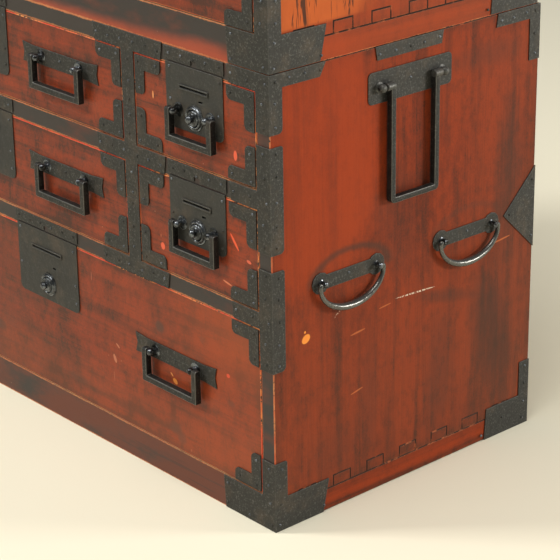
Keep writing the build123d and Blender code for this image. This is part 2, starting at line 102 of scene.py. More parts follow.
BUTTON_PROFILE = (
    (2.8, -6.0), (2.9, -5.8), (2.9, 0.5), (9.2, 0.5), (9.6, 0.9), (9.6, 4.2), (9.2, 5.1), (8.3, 5.7),
    (7.4, 5.8), (6.7, 5.6), (6.2, 5.9), (5.6, 6.5), (4.7, 6.7), (3.6, 6.6), (3.4, 6.9), (4.2, 7.7),
    (4.7, 8.7), (4.9, 9.8), (4.6, 11.1), (3.9, 12.2), (2.8, 13.0), (1.3, 13.4), (0.4, 13.45),
)
MASTERS = (
    "post", "pole_post", "grip_post", "collar", "button", "nail", "pole", "grip", "bail_100", "bail_80",
)

FACES_OUT = {
    "front": Matrix.Rotation(math.radians(90), 4, "X"),
    "right": Matrix.Rotation(math.radians(90), 4, "Z") @ Matrix.Rotation(math.radians(90), 4, "X"),
    "left": Matrix.Rotation(math.radians(-90), 4, "Z") @ Matrix.Rotation(math.radians(90), 4, "X"),
}
IRON_FACES = (("front", 1, FRONT_Y - IRON), ("right", 0, OUTER_X + IRON), ("left", 0, -OUTER_X - IRON))


# ---- Sizes and colours that a user would change ----


def length_property(name, description, default, low, high):
    return FloatProperty(
        name=name, description=description, default=default, min=low, max=high,
        subtype="DISTANCE", unit="LENGTH",
    )


def power_property(name, description, default):
    return FloatProperty(
        name=name, description=description, default=default, min=0.0, max=2000.0,
        subtype="POWER", unit="POWER",
    )


def colour_property(name, description, default):
    return FloatVectorProperty(
        name=name, description=description, default=default, min=0.0, max=1.0, size=3, subtype="COLOR"
    )


class ChestSizes(bpy.types.PropertyGroup):
    """Sizes of the finishing details."""

    wood_easing: length_property(
        "Wood easing", "Width of the worn edge of a board", 0.0011, 0.0002, 0.003,
    )
    iron_easing: length_property(
        "Iron easing", "Width of the filed edge of an iron plate", 0.0004, 0.0001, 0.0007,
    )
    bar_easing: length_property(
        "Handle easing", "Rounding of the edges of a handle's bar", 0.0013, 0.0002, 0.003,
    )
    hammer_depth: length_property(
        "Hammer depth", "How far the hammer marks go into a handle", 0.0005, 0.0, 0.001,
    )
    nail_radius: length_property(
        "Nail radius", "Radius of a nail's domed head", 0.0018, 0.001, 0.004,
    )
    nail_height: length_property(
        "Nail height", "How far a nail's head stands above its iron", 0.0012, 0.0005, 0.003,
    )


class ChestColours(bpy.types.PropertyGroup):
    """Colours of the finishes."""

    red_lacquer: colour_property("Red lacquer", "Lacquer of the sides and drawers", (0.195, 0.027, 0.0065))
    bright_lacquer: colour_property("Bright lacquer", "Where the lacquer is thin", (0.30, 0.040, 0.007))
    deep_lacquer: colour_property("Deep lacquer", "Where the lacquer is thick", (0.052, 0.018, 0.009))
    worn_wood: colour_property("Worn wood", "Wood showing through a rubbed edge", (0.66, 0.24, 0.085))
    dark_lacquer: colour_property("Dark lacquer", "Lacquer of the rails and posts", (0.032, 0.024, 0.020))
    rail_red: colour_property("Rail red", "Red undercoat showing on the rails", (0.13, 0.032, 0.015))
    bare_wood: colour_property("Bare wood", "Unfinished softwood inside", (0.46, 0.31, 0.17))
    iron: colour_property("Iron", "Blackened iron plate", (0.035, 0.034, 0.029))
    rubbed_iron: colour_property("Rubbed iron", "Iron where hands have rubbed it", (0.17, 0.17, 0.155))
    bright_iron: colour_property("Bright iron", "Buttons, nail heads and balls", (0.17, 0.185, 0.20))
    floor: colour_property("Floor", "Plain pale floor", (0.84, 0.79, 0.62))


class ChestStudio(bpy.types.PropertyGroup):
    """Camera and lamps."""

    lens: FloatProperty(
        name="Lens", description="Focal length of the camera",
        default=135.72, min=20.0, max=300.0, subtype="DISTANCE_CAMERA", unit="CAMERA",
    )
    window_power: power_property("Window power", "Power of the large soft lamp at the left", 136.0)
    room_power: power_property("Room power", "Power of the soft lamp at the right", 96.0)
    ceiling_power: power_property("Ceiling power", "Power of the soft lamp overhead", 140.0)
    air: FloatProperty(
        name="Ambient light", description="Strength of the even light from all round",
        default=0.17, min=0.0, max=2.0, subtype="FACTOR",
    )


# ---- Shader sums ----


class Wire:
    """A shader socket that takes part in Python sums. Each sum on values adds a Math node."""

    def __init__(self, recipe, socket):
        self.recipe = recipe
        self.socket = socket

    def total(self, operation, *values):
        return self.recipe.node("ShaderNodeMath", {"operation": operation}, dict(enumerate(values)))

    def __add__(self, other):
        return self.total("ADD", self, other)

    __radd__ = __add__

    def __sub__(self, other):
        return self.total("SUBTRACT", self, other)

    def __rsub__(self, other):
        return self.total("SUBTRACT", other, self)

    def __mul__(self, other):
        return self.total("MULTIPLY", self, other)

    __rmul__ = __mul__

    def __truediv__(self, other):
        return self.total("DIVIDE", self, other)

    def __pow__(self, other):
        return self.total("POWER", self, other)

    def least(self, other):
        return self.total("MINIMUM", self, other)

    def most(self, other):
        return self.total("MAXIMUM", self, other)

    def ramp(self, low, high):
        """0 below low, 1 above high and smooth between. With low above high it runs the other way."""
        start, end = (0.0, 1.0) if low <= high else (1.0, 0.0)
        inputs = {0: self, 1: min(low, high), 2: max(low, high), 3: start, 4: end}
        return self.recipe.node("ShaderNodeMapRange", {"interpolation_type": "SMOOTHSTEP"}, inputs)


class Recipe:
    """The nodes of one finish."""

    def __init__(self, name):
        self.material = bpy.data.materials.new(name)
        self.material.use_nodes = True
        self.tree = self.material.node_tree
        self.surface = self.tree.nodes["Principled BSDF"]

    def node(self, kind, settings=None, inputs=None, output=0):
        made = self.tree.nodes.new(kind)
        for key, value in (settings or {}).items():
            setattr(made, key, value)
        for place, value in (inputs or {}).items():
            self.feed(made.inputs[place], value)
        return Wire(self, made.outputs[output])

    def feed(self, socket, value):
        if isinstance(value, Wire):
            self.tree.links.new(value.socket, socket)
        else:
            socket.default_value = value

    def place(self):
        """Object coordinates as a vector."""
        return self.node("ShaderNodeTexCoord", output="Object")

    def values_of(self, vector):
        """The three values of a vector."""
        return [self.node("ShaderNodeSeparateXYZ", None, {0: vector}, axis) for axis in range(3)]

    def attribute(self, name, output="Vector"):
        return self.node("ShaderNodeAttribute", {"attribute_name": name}, None, output)

    def scaled(self, vector, scale):
        """The vector times three numbers, or times one number along all axes."""
        scale = scale if isinstance(scale, tuple) else (scale,) * 3
        return self.node("ShaderNodeVectorMath", {"operation": "MULTIPLY"}, {0: vector, 1: scale})

    def noise(self, vector, scale, detail, rough, twist=0.0):
        return self.node("ShaderNodeTexNoise", None, {
            "Vector": self.scaled(vector, scale), "Scale": 1.0, "Detail": detail, "Roughness": rough,
            "Distortion": twist,
        })

    def cells(self, vector, scale, output="Distance"):
        inputs = {"Vector": self.scaled(vector, scale), "Scale": 1.0}
        return self.node("ShaderNodeTexVoronoi", None, inputs, output)

    def mix(self, amount, first, second):
        first, second = (c if isinstance(c, Wire) else (*c, 1.0) for c in (first, second))
        return self.node("ShaderNodeMix", {"data_type": "RGBA"}, {0: amount, 6: first, 7: second}, 2)

    def blot(self, u, v, centre, radii, ragged, turn=0.0, soft=(1.15, 0.75)):
        """1 inside an ellipse with a ragged edge, on the plane of u and v, and 0 outside."""
        c, s = math.cos(turn), math.sin(turn)
        du, dv = u - centre[0], v - centre[1]
        along = (du * c + dv * s) / radii[0]
        across = (dv * c - du * s) / radii[1]
        return (along * along + across * across + ragged).ramp(*soft)

    def finish(
        self, colour, roughness, height=None, depth=0.0, metallic=0.0,
        coat=0.0, coat_roughness=0.25, shine=0.5,
    ):
        """Feeds the surface: a bump of depth metres, and the rest as given."""
        self.surface.inputs["Specular IOR Level"].default_value = shine
        values = {"Base Color": colour, "Roughness": roughness, "Metallic": metallic, "Coat Weight": coat}
        for name, value in values.items():
            self.feed(self.surface.inputs[name], value)
        self.surface.inputs["Coat Roughness"].default_value = coat_roughness
        if height is not None:
            inputs = {"Strength": 1.0, "Distance": depth, "Height": height}
            self.feed(self.surface.inputs["Normal"], self.node("ShaderNodeBump", None, inputs))
        return self.material


# ---- Finishes ----


def spread_of(colours, name):
    return tuple(getattr(colours, name))


def edge_distance(recipe):
    """Distance from a point of a board's face to the nearest side of the board."""
    margin = recipe.attribute("margin", "Color")
    sides = [recipe.node("ShaderNodeSeparateColor", None, {0: margin}, place) for place in range(3)]
    return sides[0].least(sides[1]).least(sides[2].least(recipe.attribute("margin", "Alpha")))


def wood_figure(recipe, grain):
    """Streaks along the grain: broad ones, fine ones and open pores."""
    broad = recipe.noise(grain, (3.0, 46.0, 46.0), 5.0, 0.6, 0.35)
    streak = recipe.noise(grain, (7.0, 230.0, 230.0), 4.0, 0.6)
    pores = recipe.noise(grain, (32.0, 1500.0, 1500.0), 2.0, 0.5)
    return broad, streak, pores


def scattered_chips(recipe, vector, pitch, size, share):
    """Small marks, one in some of the cells of a grid of the given pitch."""
    scale = tuple(1.0 / p for p in pitch)
    near = recipe.cells(vector, scale)
    pick = recipe.node("ShaderNodeSeparateColor", None, {0: recipe.cells(vector, scale, "Color")}, 0)
    return near.ramp(size, size * 0.55) * pick.ramp(1.0 - share, 1.0 - share + 0.01)


def red_lacquer(name, colours, marks=None, tone=0.0, sheen=0.12, figure=1.0, haze=0.0):
    """Transparent red lacquer on wood, streaked by the grain, scuffed and rubbed at the edges."""
    recipe = Recipe(name)
    vector = recipe.place()
    broad, streak, pores = wood_figure(recipe, recipe.attribute("grain"))
    edge = edge_distance(recipe)
    cloud = recipe.noise(vector, 5.0, 3.0, 0.5)
    smudge = recipe.noise(vector, (16.0, 16.0, 11.0), 6.0, 0.68)
    fine = recipe.noise(vector, 420.0, 3.0, 0.6)
    red, bright, deep = (spread_of(colours, n) for n in ("red_lacquer", "bright_lacquer", "deep_lacquer"))
    thin = (broad * 0.55 + cloud * 0.6 + tone).ramp(0.42, 0.80)
    colour = recipe.mix(thin, red, bright)
    mottle = recipe.noise(vector, (95.0, 95.0, 60.0), 5.0, 0.7)
    figured = streak.ramp(0.52, 0.32) * 0.50 + pores.ramp(0.46, 0.30) * 0.30 + mottle.ramp(0.50, 0.62) * 0.6
    figured = figured + fine.ramp(0.52, 0.64) * 0.4 + smudge.ramp(0.56, 0.74) * 0.62
    darker = broad.ramp(0.52, 0.34) * 0.42 + figured * figure + smudge.ramp(0.42, 0.66) * haze
    colour = recipe.mix(mottle.ramp(0.49, 0.38) * 0.6 + fine.ramp(0.48, 0.38) * 0.4, colour, bright)
    # darker within about 20 mm of a board's sides, with a ragged edge
    darker_near_sides = (edge + smudge * 0.012).ramp(0.020, 0.006) * 0.30
    colour = recipe.mix((darker + darker_near_sides).least(0.92), colour, deep)
    chips = scattered_chips(recipe, vector, (0.021, 0.021, 0.034), 0.075, 0.09)
    pale = scattered_chips(recipe, vector, (0.047, 0.047, 0.090), 0.030, 0.20)
    rubbed = (edge + fine * 0.0030 + smudge * 0.0022).ramp(0.0042, 0.0030)
    wood = spread_of(colours, "worn_wood")
    dust = scattered_chips(recipe, vector, (0.013, 0.013, 0.015), 0.060, 0.13)
    colour = recipe.mix(dust * 0.55, colour, (0.62, 0.36, 0.22))
    colour = recipe.mix(chips * 0.55, colour, (0.50, 0.13, 0.05))
    colour = recipe.mix(pale * 0.85, colour, (0.62, 0.42, 0.27))
    colour = recipe.mix(rubbed * 0.55, colour, wood)
    if marks:
        colour = marks(recipe, colour, recipe.values_of(vector), smudge, fine)
    gloss = 0.44 + smudge * 0.16 + rubbed * 0.2 + streak * 0.06
    height = pores * 0.35 + streak * 0.45 + fine * 0.10 + cloud * 1.2 - chips * 0.5
    return recipe.finish(colour, gloss, height, 0.00035, 0.0, (1.0 - rubbed) * sheen, 0.32, 0.1 + sheen * 1.6)


def dark_lacquer(name, colours):
    """Black-brown lacquer over a red undercoat that shows where the rails are rubbed."""
    recipe = Recipe(name)
    vector = recipe.place()
    x, _, z = recipe.values_of(vector)
    broad, streak, pores = wood_figure(recipe, recipe.attribute("grain"))
    edge = edge_distance(recipe)
    patch = recipe.noise(vector, (9.0, 9.0, 20.0), 5.0, 0.62)
    fine = recipe.noise(vector, 300.0, 3.0, 0.6)
    low = z.ramp(0.050, 0.042) * 0.23
    upper_foot = (z - CASE_TOP).ramp(0.0, 0.001) * (z - CASE_TOP - 0.043).ramp(0.001, 0.0)
    red = (patch + low + upper_foot * 0.02 + broad * 0.15).ramp(0.58, 0.84)
    colour = recipe.mix(red, spread_of(colours, "dark_lacquer"), spread_of(colours, "rail_red"))
    colour = recipe.mix(streak.ramp(0.46, 0.30) * 0.45, colour, (0.030, 0.024, 0.020))
    hem = (z - CASE_TOP + patch * 0.030 - x.ramp(0.1, 0.4) * 0.008).ramp(0.031, 0.011) * upper_foot
    colour = recipe.mix(hem * 0.85, colour, (0.42, 0.062, 0.020))
    rubbed = (edge + fine * 0.0030 + patch * 0.0030).ramp(0.0046, 0.0034)
    colour = recipe.mix(rubbed * 0.7, colour, spread_of(colours, "worn_wood"))
    chips = scattered_chips(recipe, vector, (0.017, 0.017, 0.017), 0.070, 0.10)
    colour = recipe.mix(chips * 0.5, colour, (0.36, 0.20, 0.13))
    height = pores * 0.3 + streak * 0.4 + fine * 0.12 + patch * 0.8
    return recipe.finish(colour, 0.42 + patch * 0.22, height, 0.0003, 0.0, (1.0 - rubbed) * 0.12, 0.3, 0.35)


def worn_edge(name, colours, dark):
    """The rubbed arris of a lacquered board."""
    recipe = Recipe(name)
    vector = recipe.place()
    rub = recipe.noise(vector, 38.0, 4.0, 0.65)
    fine = recipe.noise(vector, 260.0, 3.0, 0.6)
    wood = recipe.mix(rub.ramp(0.40, 0.62), (0.58, 0.10, 0.028), spread_of(colours, "worn_wood"))
    kept = spread_of(colours, "dark_lacquer" if dark else "red_lacquer")
    keep = (rub * 0.5 + fine * 0.5).ramp(0.52, 0.62) if dark else (rub * 0.4 + fine * 0.6).ramp(0.56, 0.66)
    return recipe.finish(recipe.mix(keep, wood, kept), 0.52 + fine * 0.2, fine, 0.0002)


def seam_edge(name):
    """The eased edge along a joint between boards, dark with dirt and here and there rubbed."""
    recipe = Recipe(name)
    vector = recipe.place()
    rub = recipe.noise(vector, 70.0, 4.0, 0.65)
    colour = recipe.mix(rub.ramp(0.52, 0.68), (0.050, 0.019, 0.010), (0.42, 0.11, 0.036))
    return recipe.finish(colour, 0.6, rub, 0.0002, shine=0.25)


def bright_edge(name):
    """The upper arris of a rail or drawer front, rubbed to bright red undercoat and bare wood."""
    recipe = Recipe(name)
    vector = recipe.place()
    run = recipe.noise(vector, 9.0, 3.0, 0.6)
    fine = recipe.noise(vector, 210.0, 3.0, 0.6)
    colour = recipe.mix(run.ramp(0.46, 0.62), (0.72, 0.065, 0.020), (0.95, 0.36, 0.10))
    colour = recipe.mix((run * 0.5 + fine * 0.6).ramp(0.56, 0.64), colour, (0.07, 0.045, 0.033))
    return recipe.finish(colour, 0.5 + fine * 0.2, fine, 0.0002)


def bare_wood(name, colours):
    """Softwood left as it was planed, browned with age."""
    recipe = Recipe(name)
    vector, grain = recipe.place(), recipe.attribute("grain")
    broad, streak, pores = wood_figure(recipe, grain)
    bands = recipe.noise(grain, (1.6, 90.0, 90.0), 3.0, 0.5, 0.8)
    base = spread_of(colours, "bare_wood")
    colour = recipe.mix(bands.ramp(0.42, 0.60), base, tuple(c * 0.66 for c in base))
    colour = recipe.mix(broad.ramp(0.45, 0.72) * 0.55, colour, (0.30, 0.18, 0.09))
    colour = recipe.mix(streak.ramp(0.46, 0.30) * 0.4, colour, (0.22, 0.13, 0.065))
    stain = recipe.noise(vector, 7.0, 5.0, 0.65)
    colour = recipe.mix(stain.ramp(0.55, 0.78) * 0.5, colour, (0.17, 0.11, 0.07))
    height = pores * 0.5 + streak * 0.6 + bands * 0.4
    return recipe.finish(colour, 0.62 + streak * 0.2, height, 0.0004)


def blackened_iron(name, colours, rubbed=0.0, grit=0.5, polish=0.0, depth=1.0):
    """Hammered iron plate, blackened, with brown bloom, pits, grit and fine scratches."""
    recipe = Recipe(name)
    vector = recipe.place()
    hammer = recipe.noise(vector, 95.0, 2.0, 0.5)
    bloom = recipe.noise(vector, 24.0, 5.0, 0.65)
    speck = recipe.noise(vector, 400.0, 3.0, 0.7)
    iron = tuple(c * depth for c in spread_of(colours, "iron"))
    bright = spread_of(colours, "rubbed_iron")
    colour = recipe.mix(bloom.ramp(0.48, 0.74) * 0.6 * depth, iron, (0.105, 0.078, 0.052))
    colour = recipe.mix(bloom.ramp(0.46, 0.28) * 0.6, colour, (0.034, 0.034, 0.031))
    scratch = recipe.noise(vector, (900.0, 900.0, 70.0), 2.0, 0.5).ramp(0.66, 0.74)
    scratch = scratch.most(recipe.noise(vector, (60.0, 60.0, 800.0), 2.0, 0.5).ramp(0.67, 0.75))
    worn = (speck.ramp(0.54, 0.68) * grit + scratch * 0.25 + rubbed).least(1.0)
    colour = recipe.mix(worn, colour, bright)
    gloss = 0.56 - polish - worn * 0.18 + bloom * 0.10
    colour = recipe.mix(speck.ramp(0.44, 0.30) * grit, colour, (0.016, 0.015, 0.013))
    height = hammer * 1.6 + speck * grit * 0.4 + bloom * 0.6
    return recipe.finish(colour, gloss, height, 0.0005, 0.42 + worn * 0.4)


def bright_iron(name, colours, dark, gloss):
    """Iron kept bright by fingers, with darker tarnished patches."""
    recipe = Recipe(name)
    vector = recipe.place()
    tarnish = recipe.noise(vector, 110.0, 3.0, 0.6)
    bright = spread_of(colours, "bright_iron")
    colour = recipe.mix(tarnish.ramp(0.36, 0.60) * dark, bright, (0.022, 0.022, 0.021))
    return recipe.finish(colour, gloss + tarnish * 0.16, metallic=0.85)


def chipped(recipe, colour, u, v, chips, ragged, strength):
    """Lays chips over the colour, each given by its centre, radii, turn and paint on the plane of u and v."""
    for centre, radii, turn, paint in chips:
        chip = recipe.blot(u, v, centre, radii, ragged, turn)
        colour = recipe.mix(chip * strength, colour, paint)
    return colour


def side_marks(recipe, colour, place, smudge, fine):
    """Marks of use on the right side: scuffs round the grips, a scratch, a chip and dark stains; also a painted
    pool of light high on the front half, a dull painted floor reflection towards the bottom, painted shade towards
    the back, and a lighter red on the upper case.
    """
    x, y, z = place
    right = x.ramp(0.40, 0.41)
    y = y - (FRONT_Y + 0.2025)
    ragged = smudge * 0.9 - 0.45
    lit = recipe.blot(y, z, (-0.13, 0.43), (0.09, 0.16), ragged * 1.6) * 0.45
    colour = recipe.mix(lit * right, colour, (0.42, 0.050, 0.007))
    above = (z - CASE_TOP).ramp(0.040, 0.046)
    upper_case = (z - CASE_TOP).ramp(0.0, 0.001) * right
    colour = recipe.mix(upper_case * 0.35, colour, (0.46, 0.075, 0.018))
    thin = recipe.blot(y, z, (-0.140, CASE_TOP + 0.075), (0.085, 0.050), ragged * 1.6, 0.0, (1.6, 0.4))
    thin = thin * above
    colour = recipe.mix(thin * right * (0.35 + smudge), colour, (0.58, 0.120, 0.022))
    crack = recipe.noise(recipe.attribute("grain"), (14.0, 150.0, 150.0), 3.0, 0.6, 1.2)
    colour = recipe.mix(thin * right * crack.ramp(0.55, 0.63) * 0.9, colour, (0.040, 0.020, 0.012))
    # painted light: towards the bottom a dull, paler reflection of the floor, and towards the back painted shade
    painted_sheen_and_shade = z.ramp(0.44, 0.08) * 0.26 + y.ramp(0.03, 0.20) * 0.16
    colour = recipe.mix(painted_sheen_and_shade * right, colour, (0.155, 0.060, 0.032))
    for centre, radii, depth, turn in (
        ((0.150, 0.145), (0.030, 0.085), 0.75, 0.2),
        ((0.060, 0.115), (0.022, 0.080), 0.45, -0.1),
        ((0.176, 0.330), (0.020, 0.085), 0.55, 0.0),
        ((-0.010, 0.330), (0.035, 0.060), 0.35, 0.3),
        ((-0.055, 0.110), (0.012, 0.090), 0.30, 0.0),
        ((0.075, 0.215), (0.045, 0.008), 0.55, -0.25),
        ((0.125, 0.500), (0.060, 0.014), 0.35, 0.0),
        ((-0.110, 0.075), (0.040, 0.030), 0.30, 0.3),
    ):
        stain = recipe.blot(y, z, centre, radii, ragged * 3.2, turn, (2.2, -0.6))
        colour = recipe.mix(stain * depth * right, colour, (0.050, 0.030, 0.020))
    for middle in (-0.086, 0.105):
        across = (y - middle - 0.001) / 0.060
        up = (z - 0.289) / 0.031
        ring = (across * across + up * up) ** 0.5 + ragged * 0.30
        arc = ring.ramp(0.78, 0.98) * ring.ramp(1.20, 1.0) * (z - 0.280).ramp(0.0, 0.012)
        strength = 0.62 if middle < 0 else 0.25
        colour = recipe.mix(arc * strength * right, colour, (0.045, 0.034, 0.024))
    broken = (fine * 0.8 + smudge * 0.3).ramp(0.50, 0.60)
    scratch = recipe.blot(y, z, (0.0200, 0.2345), (0.0325, 0.0011), ragged * 0.5, -0.05)
    colour = recipe.mix(scratch * broken * right, colour, (0.74, 0.62, 0.47))
    scratch = recipe.blot(y, z, (-0.103, 0.246), (0.009, 0.0012), ragged * 0.5, 0.7)
    colour = recipe.mix(scratch * broken * right * 0.7, colour, (0.66, 0.45, 0.33))
    chip = recipe.blot(y, z, (-0.1535, 0.2275), (0.0066, 0.0050), ragged * 1.2, 0.5)
    speck = recipe.blot(y, z, (-0.1548, 0.2362), (0.0014, 0.0016), ragged * 0.4)
    colour = recipe.mix(chip.most(speck) * right, colour, (0.92, 0.30, 0.050))
    graze = (0.56, 0.15, 0.045)
    return chipped(recipe, colour, y, z, (
        ((-0.073, 0.212), (0.012, 0.0012), 0.10, graze), ((-0.075, 0.138), (0.010, 0.0010), 0.2, graze),
        ((0.165, 0.262), (0.016, 0.0011), 0.1, graze), ((-0.030, 0.232), (0.010, 0.0009), 0.10, graze),
    ), ragged * 0.6, right * 0.7)


def long_front_marks(recipe, colour, place, smudge, fine):
    """Marks of use on the long drawer: stains, chips and grazes round the handles, with painted shade towards the
    left end and a lighter, warmer red towards the bottom and the right.
    """
    x, _, z = place
    ragged = smudge * 0.9 - 0.45
    for centre, radii, depth in (
        ((0.2214, 0.1935), (0.0085, 0.0075), 0.85), ((0.2440, 0.0690), (0.0120, 0.0090), 0.80),
        ((0.2560, 0.0590), (0.0080, 0.0070), 0.70), ((0.3000, 0.2020), (0.0050, 0.0050), 0.45),
        ((0.3500, 0.1370), (0.0070, 0.0040), 0.50), ((-0.2300, 0.1750), (0.0090, 0.0070), 0.65),
        ((-0.1200, 0.0900), (0.0130, 0.0080), 0.55), ((0.0500, 0.0700), (0.0200, 0.0060), 0.40),
    ):
        stain = recipe.blot(x, z, centre, radii, ragged * 3.0 + fine * 0.8 - 0.4, 0.0, (1.7, 0.2))
        colour = recipe.mix(stain * depth, colour, (0.040, 0.032, 0.025))
    colour = chipped(recipe, colour, x, z, (
        ((0.2470, 0.1310), (0.0046, 0.0032), -0.5, (0.86, 0.32, 0.06)),
        ((0.2410, 0.1380), (0.0030, 0.0012), -0.7, (0.80, 0.34, 0.10)),
        ((0.1295, 0.1221), (0.0026, 0.0058), 0.4, (0.52, 0.18, 0.09)),
        ((0.1365, 0.1411), (0.0042, 0.0014), -0.6, (0.52, 0.18, 0.09)),
        ((0.1265, 0.0971), (0.0008, 0.0070), 0.0, (0.34, 0.09, 0.04)),
        ((0.3449, 0.1710), (0.0030, 0.0026), 0.0, (0.78, 0.075, 0.035)),
        ((0.0888, 0.2189), (0.0010, 0.0060), 0.0, (0.34, 0.10, 0.05)),
        ((-0.2700, 0.1300), (0.0030, 0.0060), 0.3, (0.66, 0.24, 0.12)),
    ), ragged * 1.2, 0.9)
    # painted shade: darker towards the left end
    colour = recipe.mix(x.ramp(0.16, -0.10) * 0.20, colour, (0.080, 0.046, 0.026))
    low = (z - 0.130).ramp(0.0, -0.06) * 0.18
    colour = recipe.mix(low, colour, (0.36, 0.085, 0.024))
    warm = x.ramp(0.02, 0.40) * 0.22 + x.ramp(0.20, 0.40) * (z - 0.14).ramp(0.0, 0.08) * 0.25
    return recipe.mix(warm, colour, (0.46, 0.085, 0.016))


def small_front_marks(recipe, colour, place, smudge, _):
    """Chips of bright red and grazes on the small drawers."""
    x, _, z = place
    ragged = smudge * 0.9 - 0.45
    return chipped(recipe, colour, x, z, (
        ((0.3620, 0.3400), (0.0110, 0.0018), -0.9, (0.85, 0.11, 0.04)),
        ((0.2330, 0.2990), (0.0038, 0.0046), 0.2, (0.80, 0.12, 0.05)),
        ((0.3860, 0.3230), (0.0040, 0.0020), -0.2, (0.74, 0.13, 0.06)),
        ((0.2250, 0.4800), (0.0013, 0.0048), 0.0, (0.84, 0.32, 0.11)),
        ((0.3667, 0.4423), (0.0028, 0.0056), 0.0, (0.84, 0.12, 0.05)),
        ((0.3480, 0.2870), (0.0080, 0.0012), -0.2, (0.66, 0.20, 0.09)),
    ), ragged * 1.1, 0.9)


# ---- Modelling helpers ----


def clear_selection():
    if bpy.context.mode != "OBJECT":
        bpy.ops.object.mode_set(mode="OBJECT")
    bpy.ops.object.select_all(action="DESELECT")


def take_up(piece):
    """Makes the piece the only one selected, and the active one."""
    clear_selection()
    piece.select_set(True)
    bpy.context.view_layer.objects.active = piece


def just_added(name):
    """The piece that an operator has just added, with its place and size put into its mesh."""
    piece = bpy.context.view_layer.objects.active
    piece.name = name
    bpy.ops.object.transform_apply(location=True, rotation=True, scale=True)
    return piece


def open_edit(piece):
    take_up(piece)
    bpy.ops.object.mode_set(mode="EDIT")
    bpy.ops.mesh.select_mode(type="VERT")
    bpy.ops.mesh.select_all(action="SELECT")


def close_edit(turn_outward=False):
    if turn_outward:
        bpy.ops.mesh.select_all(action="SELECT")
        bpy.ops.mesh.normals_make_consistent(inside=False)
    bpy.ops.object.mode_set(mode="OBJECT")


def pick(kind, test):
    """Selects the faces, edges or vertices that pass the test, in edit mode."""
    mesh = bpy.context.view_layer.objects.active.data
    bpy.ops.mesh.select_mode(type={"faces": "FACE", "edges": "EDGE", "verts": "VERT"}[kind])
    bpy.ops.mesh.select_all(action="DESELECT")
    shape = bmesh.from_edit_mesh(mesh)
    for item in getattr(shape, kind):
        item.select_set(bool(test(item)))
    shape.select_flush_mode()
    bmesh.update_edit_mesh(mesh)


def pull(offset):
    bpy.ops.mesh.extrude_region_move(TRANSFORM_OT_translate={"value": offset})


def apply_modifier(piece, kind, **settings):
    take_up(piece)
    modifier = piece.modifiers.new(kind.title(), kind)
    for key, value in settings.items():
        setattr(modifier, key, value)
    bpy.ops.object.modifier_apply(modifier=modifier.name)


def ease(piece, width, segments, slot_index=-1, angle=30.0):
    """Bevels the sharp edges and keeps the flats flat."""
    apply_modifier(
        piece, "BEVEL", width=width, segments=segments, limit_method="ANGLE",
        angle_limit=math.radians(angle), material=slot_index,
    )


def smooth_by_angle(piece, angle=35.0, weighted=False):
    take_up(piece)
    bpy.ops.object.shade_smooth_by_angle(angle=math.radians(angle))
    if weighted:
        apply_modifier(piece, "WEIGHTED_NORMAL", keep_sharp=True, weight=100)
    return piece


def islands_of(mesh):
    """The loose parts of a mesh, each as its vertex indices and its lowest and highest corner."""
    linked = {vert.index: [] for vert in mesh.vertices}
    for edge in mesh.edges:
        first, second = edge.vertices
        linked[first].append(second)
        linked[second].append(first)
    found, seen = [], set()
    for start in linked:
        if start in seen:
            continue
        seen.add(start)
        part, queue = [], [start]
        while queue:
            i = queue.pop()
            part.append(i)
            fresh = [j for j in linked[i] if j not in seen]
            seen.update(fresh)
            queue += fresh
        found.append((part, *box_of(mesh.vertices[i].co for i in part)))
    return found


def solids_of(node):
    """The closed solids of a CAD node, each as a list of faces given by their corners.

    The node's triangles come solid by solid, so one ends where its last open edge is closed."""
    source = NODES[node].data
    solids, faces, unpaired = [], [], set()
    for polygon in source.polygons:
        corners = [tuple(round(c, 7) for c in source.vertices[i].co) for i in polygon.vertices]
        faces.append(corners)
        for start, end in zip(corners, corners[1:] + corners[:1]):
            if (end, start) in unpaired:
                unpaired.remove((end, start))
            else:
                unpaired.add((start, end))
        if not unpaired:
            solids.append(faces)
            faces = []
    return solids + [faces] if faces else solids


def box_of(corners):
    """Lowest and highest corner of some points."""
    corners = list(corners)
    return [Vector([pick_end(c[axis] for c in corners) for axis in range(3)]) for pick_end in (min, max)]


def middle_of(low, high):
    return (low + high) / 2


def draw_back(piece, reveal, lowest, highest, axes, chosen):
    """Moves the outer edges of chosen plates in by reveal, so that what lies behind them shows."""
    for part, low, high in islands_of(piece.data):
        if not chosen(high - low):
            continue
        for i in part:
            place = piece.data.vertices[i].co
            for axis in axes:
                if place[axis] < lowest[axis] + 0.1 * MM:
                    place[axis] += reveal
                elif place[axis] > highest[axis] - 0.1 * MM:
                    place[axis] -= reveal


def clear_runs(piece, rails):
    """Lowers the plate edges that lie flush with the rail tops, so that a drawer runs clear of them."""
    tops = [high.z for _, high in solid_boxes(rails)]
    runs = [top for top in tops if min(abs(top - CASE_TOP), abs(top - CHEST_TOP)) > MM]
    for vertex in piece.data.vertices:
        if any(abs(vertex.co.z - run) < 0.05 * MM for run in runs):
            vertex.co.z -= 0.3 * MM


def solid_boxes(node):
    return [box_of(corner for face in solid for corner in face) for solid in solids_of(node)]


def merged_copy(name, node, keep=None):
    """A copy of a CAD node, merged solid by solid, with its flats joined. keep picks solids by their box."""
    shape = bmesh.new()
    for solid in solids_of(node):
        if keep and not keep(*box_of(corner for face in solid for corner in face)):
            continue
        verts = {}
        for face in solid:
            for corner in face:
                if corner not in verts:
                    verts[corner] = shape.verts.new(corner)
            if len(set(face)) == len(face):
                shape.faces.new([verts[corner] for corner in face])
    mesh = bpy.data.meshes.new(name)
    shape.to_mesh(mesh)
    shape.free()
    piece = bpy.data.objects.new(name, mesh)
    bpy.context.scene.collection.objects.link(piece)
    open_edit(piece)
    bpy.ops.mesh.dissolve_limited(angle_limit=math.radians(0.5))
    close_edit()
    return piece


